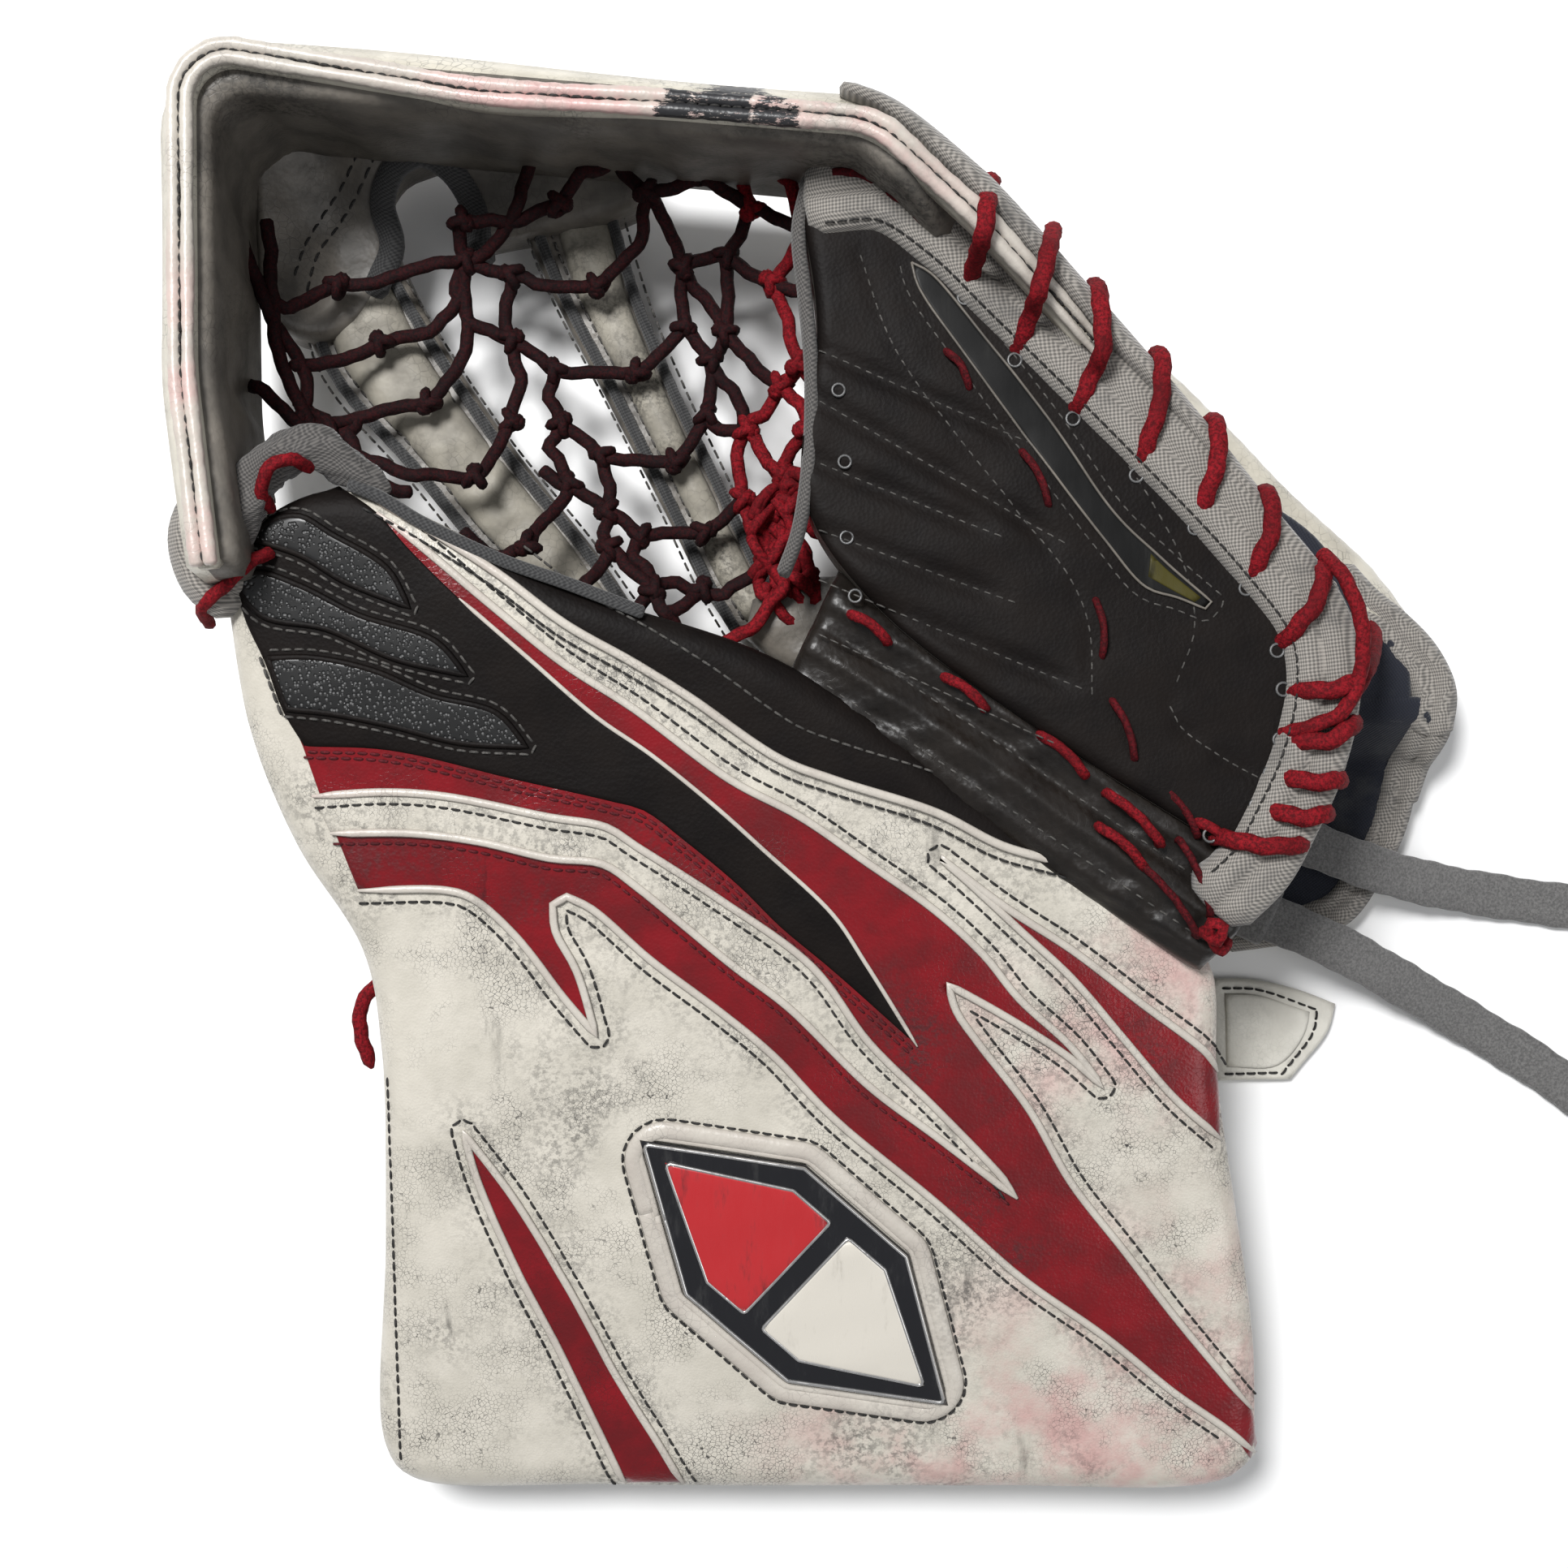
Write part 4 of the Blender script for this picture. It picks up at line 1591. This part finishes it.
for number, strand in enumerate(NET_STRANDS):
    places = [strand_place(item) for item in strand]
    detailed = [places[0]]
    for before, after in zip(places, places[1:]):
        bow = math.sin(number * 2.3 + len(detailed)) * 0.8
        across = Vector((-(after - before).y, (after - before).x, 0)).normalized()
        detailed.append(before.lerp(after, 0.5) + across * bow - Vector((0, 0, 0.9)))
        detailed.append(after)
    path = smooth_line(detailed, 2.0, closed=False, corner=170)
    bright = 1 if path[0].x > -28 else 0
    tube(net, path, 1.75, sides=8, flat=0.92, braid=0.09, pitch=6.5, slot=bright)
for number, (x, y) in enumerate(NET_KNOTS.values()):
    centre = Vector((x, y, net_height(x, y) - 0.2))
    for hitch in range(2):
        lean = number * 1.7 + hitch * 1.25
        ahead = Vector((math.cos(lean), math.sin(lean), 0))
        shift = Vector((-ahead.y, ahead.x, 0)) * (0.9 - 1.8 * hitch)
        loop = []
        for k in range(12):
            angle = 2 * math.pi * k / 10
            loop.append(centre + shift * (0.6 + 0.08 * k) + ahead * 2.5 * math.cos(angle)
                        + Vector((0, 0, 2.1 * math.sin(angle))))
        tube(net, loop, 1.35, sides=8, braid=0.08, pitch=5, slot=1 if x > -30 else 0)
# The tangle of ends and half hitches beside the heel of the pocket.
for number in range(13):
    base = Vector((-16 + 4.5 * math.sin(number * 2.4), 66 + 12 * math.sin(number * 1.3 + 0.6), 38))
    loop = []
    for k in range(9):
        turn = number * 0.9 + k * (0.75 + 0.05 * (number % 3))
        loop.append(base + Vector((4.2 * math.cos(turn), 6.5 * math.sin(turn * 0.8 + number),
                                   2.6 * math.sin(turn * 1.4) + 0.3 * (number % 4))))
    tube(net, smooth_line(loop, 1.6, closed=False, corner=170), 1.45, sides=7, braid=0.1, pitch=5,
         slot=1)
soft(net.make("pocket_net", NET_LACE, LACE), "pocket_net", slot="red_lace")

# The striped tape that edges the palm along the net, and its eyelets.
net_tape = edging(
    [(-10, 152), (-12.5, 140), (-11, 124), (-9.5, 108), (-9.5, 92), (-11, 76), (-13, 66),
     (-16, 58)], level(63.2),
    lambda s, t: [(1.3, -10), (1.8, -1.6), (1.2, 0.2), (0, 0.7 + 0.15 * math.sin(t * 0.9)),
                  (-1.2, 0.2), (-1.8, -1.6), (-1.3, -10)][::-1])
soft(net_tape.make("net_edge_tape", WORN_TAPE), slot="woven_tape")
net_eyes = Mesh()
for x, y in ((-3, 101), (-1.5, 84), (-1, 66), (1, 52)):
    eyelet(net_eyes, x, y, 1.5, 0.3, 0.34)
soft(net_eyes.make("net_eyelets", AGED), slot="eyelet_metal")


# ---------------------------------------------------------------- back of the hand and wrist

BACK_PAD = [(12, 24), (3, 70), (4, 126), (12, 138), (24, 141), (52, 128), (80, 125.5), (104, 106),
            (120, 89), (140, 70), (150, 56), (156, 43), (160, 31), (158.5, 21.8)]
pad = Mesh()
board(pad, BACK_PAD, lambda x, y: 16.9 + 0.8 * swell(x, y, 70, 0.2), level(0.4),
      edge=6.5, drop=6, under=4, spacing=4, slots=(0, 0, 0))
soft(swelled(pad.make("back_pad", CREAM), 2.8), "back_pad_leather", "back_pad_foam",
     slot="white_leather", fill=0.9)
lining = Mesh()
board(lining, [(14, 27), (12, 120), (60, 112), (100, 88), (124, 72), (137, 52), (148, 40), (149, 23)],
      lambda x, y: 20.3 + 0.6 * swell(x, y, 40, 0.2), level(16), edge=1.5,
      spacing=4)
soft(lining.make("back_pad_lining", NAVY), "back_pad_lining", slot="lining")


def creased(half, rise, foot):
    """A wide tape that has creased and folded over on itself."""
    def section(share, travelled):
        first = 0.5 * math.sin(travelled * 0.55) + 0.3 * math.sin(travelled * 1.3 + 1)
        second = 0.5 * math.sin(travelled * 0.42 + 2) + 0.3 * math.sin(travelled * 1.7)
        lean = 0.8 * math.sin(travelled * 0.31)
        return [(half, foot), (half, 0.2), (half * 0.7 + lean * 0.3, rise * 0.9 + first),
                (half * 0.35 + lean, rise * 0.75 + second), (half * 0.05 + lean, rise * 0.35),
                (-half * 0.2 + lean, rise * 1.0 + second), (-half * 0.6, rise * 0.85 + first),
                (-half * 0.95, 0.2), (-half * 0.9, foot)][::-1]
    return section


pad_tape = edging(
    [(130, 61), (136.5, 54), (144.5, 47.5), (151.5, 40), (155.6, 31), (154.6, 22)], level(18.6),
    creased(6.0, 2.3, -5), step=1.6)
soft(pad_tape.make("back_pad_binding", TAPE), "back_pad_binding", slot="woven_tape")

FLAP = [(97, 17.5), (156, 17.5), (155, 8), (152, -3), (146, -17), (139, -29), (128, -34.5),
        (104, -37.5), (97, -20)]
flap = Mesh()
board(flap, FLAP, lambda x, y: 8.6 + 0.5 * swell(x, y, 26, 0.4), level(0.2),
      edge=3.5, drop=3.4, under=2, spacing=3, slots=(0, 1, 1))
carried(flap.make("wrist_flap", NAVY, CREAM), "wrist_flap", "flap_leather", "flap_foam",
        "flap_lining", slot="lining", fill=0.8)
flap_tape = edging(
    [(151.5, 16), (149.5, 6), (146.5, -5), (140.5, -17), (133.5, -26.5), (124, -30.5),
     (112, -32.5), (104, -33.5)], level(8.2), creased(5.0, 1.8, -4.5), step=1.6)
carried(flap_tape.make("flap_binding", TAPE), "wrist_flap", "flap_binding", slot="woven_tape")

hinge = Mesh()
board(hinge, [(98, 10), (98, 30), (152, 30), (155.5, 20), (153, 10)],
      lambda x, y: 8.9 + numpy.clip((y - 13) / 11, 0, 1) * 11.9 + 0.3 * swell(x, y, 17, 0.3),
      level(3.0), edge=2, drop=1.5, under=1, spacing=2.0)
hinge_piece = hinge.make("flap_hinge_cloth", NAVY)
hinge_tape = Mesh()
line = bend_up([(155.2, 28, 18.8), (154.6, 22, 18.7), (153.4, 17.5, 15.5), (152, 13, 10.5),
                (150.8, 8, 8.6), (149.5, 4, 8.3)], 1.6)
sweep(hinge_tape, line, creased(5.5, 2.2, -5), up=UP)
hinge_edge = hinge_tape.make("flap_hinge_tape", TAPE)
for piece in (hinge_piece, hinge_edge):
    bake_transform(piece)

keepers = Mesh()
for points in ([(117.5, -6.6, 19.9), (112, -4.2, 20.6), (106, -1.8, 20.8)],
               [(111.5, -28.0, 19.9), (106, -25.4, 20.6), (100, -22.6, 20.8)]):
    sweep(keepers, bend_up(points), lambda s, t: [(7.4, -2.4), (8.0, 0), (7.4, 2.2), (0, 2.9),
                                                  (-7.4, 2.2), (-8.0, 0), (-7.4, -2.4), (0, -2.9)],
          up=UP, cap=0.1)
carried(keepers.make("strap_keepers", SUEDE), "wrist_flap", "upper_strap_keeper",
        "lower_strap_keeper", slot="grey_leather")

TAB = [(100.5, -46), (112, -46.3), (124, -49), (134.5, -53), (132.5, -60), (122, -73.5),
       (101, -74)]
tab = Mesh()
board(tab, TAB, lambda x, y: 2.9 + 0.25 * swell(x, y, 16, 0.6), level(0.1),
      edge=1.3, spacing=2.2)
carried(tab.make("wrist_strap_tab", PALE), "wrist_strap", "wrist_strap_tab", slot="white_leather")
hook = Mesh()
board(hook, [(104, -50), (113, -50.5), (127, -55), (126, -60), (118.5, -69.5), (104.5, -70)],
      lambda x, y: 3.9 + 0.2 * swell(x, y, 12, 1.6), level(2.2), edge=1.2,
      drop=0.8, under=0, spacing=2.2)
hem = smooth_line([(103, -48.6), (113, -49), (129, -54.4), (128, -60.4), (119.8, -71.5),
                   (103, -72)], 2.0, closed=False)
stitches(hook, hem, level(2.9), lift=0.35, slot=1)
carried(hook.make("wrist_strap_panel", PALE, THREAD_DARK), "wrist_strap", "wrist_strap_hook",
        slot="white_leather")
tab_base = Mesh()
board(tab_base, [(84, -46), (98.5, -45), (98.5, -75), (84, -74)],
      lambda x, y: 10.4 - numpy.clip(x - 88, 0, 10) * 0.62, level(0.3), edge=1.5,
      spacing=2.5)
carried(tab_base.make("wrist_strap_base", CREAM), "cuff", "wrist_strap_base",
        slot="white_leather")


# ---------------------------------------------------------------- under the cuff and the palm

def cuff_foot(drop):
    return lambda x, y: cuff_plane(x, y) - CUFF_BOARD - drop


liner = Mesh()
board(liner, [(40, -41), (88, -41), (94, -66), (99.5, -112), (96, -113), (40, -113)], cuff_foot(-0.8),
      cuff_foot(5.6), edge=2.5, spacing=4)
carried(swelled(liner.make("wrist_liner", LINER), 1.5, 3.0), "cuff", "wrist_liner",
        slot="lining", fill=0.8)

STALL_MIDDLE = Vector((-112, 22))
STALL_TURN = math.radians(-66)


def stall_outline(half_length, half_width):
    """A long rounded form turned to lie along the thumb."""
    points = []
    for k in range(20):
        angle = 2 * math.pi * k / 20
        a = half_length * math.copysign(abs(math.cos(angle)) ** 0.5, math.cos(angle))
        b = half_width * math.copysign(abs(math.sin(angle)) ** 0.5, math.sin(angle))
        points.append((STALL_MIDDLE.x + a * math.cos(STALL_TURN) - b * math.sin(STALL_TURN),
                       STALL_MIDDLE.y + a * math.sin(STALL_TURN) + b * math.cos(STALL_TURN)))
    return points


stall = Mesh()
board(stall, stall_outline(36.5, 17), cuff_foot(0.2), cuff_foot(20), edge=6, drop=6, spacing=4,
      corner=80)
soft(stall.make("thumb_stall", LINER), "thumb_stall", slot="lining", fill=0.6)
thumb_pad = Mesh()
board(thumb_pad, stall_outline(36.5, 17), cuff_foot(20.2),
      lambda x, y: numpy.maximum(cuff_foot(29.5)(x, y), 0.5), edge=4, drop=3, spacing=4, corner=80)
soft(swelled(thumb_pad.make("thumb_back_pad", CREAM), 1.2, 3.0), "thumb_back_pad",
     slot="white_leather", fill=0.8)


def finger_sleeve(mesh, x, root, tip):
    """A padded finger sleeve, closed at the tip and open to the hand at its root."""
    rows = [(tip, 0.05, 0), (tip - 0.6, 0.5, 0), (tip - 3, 0.85, 0), (tip - 8, 1.0, 0),
            ((tip + root) / 2, 0.97, 0), (root + 3, 1.0, 0), (root, 0.97, 0), (root, 0.88, 1),
            (root + 4, 0.84, 1), (tip - 10, 0.8, 1), (tip - 5, 0.6, 1), (tip - 3, 0.1, 1)]
    start = len(mesh.points)
    sides = 20
    for y, size, _ in rows:
        for k in range(sides):
            angle = 2 * math.pi * k / sides
            across = math.copysign(abs(math.cos(angle)) ** 0.7, math.cos(angle)) * 9.4 * size
            upward = math.copysign(abs(math.sin(angle)) ** 0.7, math.sin(angle)) * 11.6 * size
            mesh.points.append((x + across, y, 33 + upward))
    for index, (_, _, slot) in enumerate(rows[1:]):
        for k in range(sides):
            j = (k + 1) % sides
            here = start + index * sides
            mesh.faces.append((here + j, here + k, here + sides + k, here + sides + j))
            mesh.slots.append(slot)
    mesh.faces.append(tuple(start + k for k in range(sides)))
    mesh.faces.append(tuple(start + (len(rows) - 1) * sides + k for k in reversed(range(sides))))
    mesh.slots.extend([0, 1])


sleeves = Mesh()
for index, tip in enumerate((113.5, 101.5, 81.5, 61.5)):
    finger_sleeve(sleeves, 22 + 19.5 * index, 44.5, tip)
soft(sleeves.make("finger_stalls", LINER, NAVY), "finger_stalls", slot="lining")
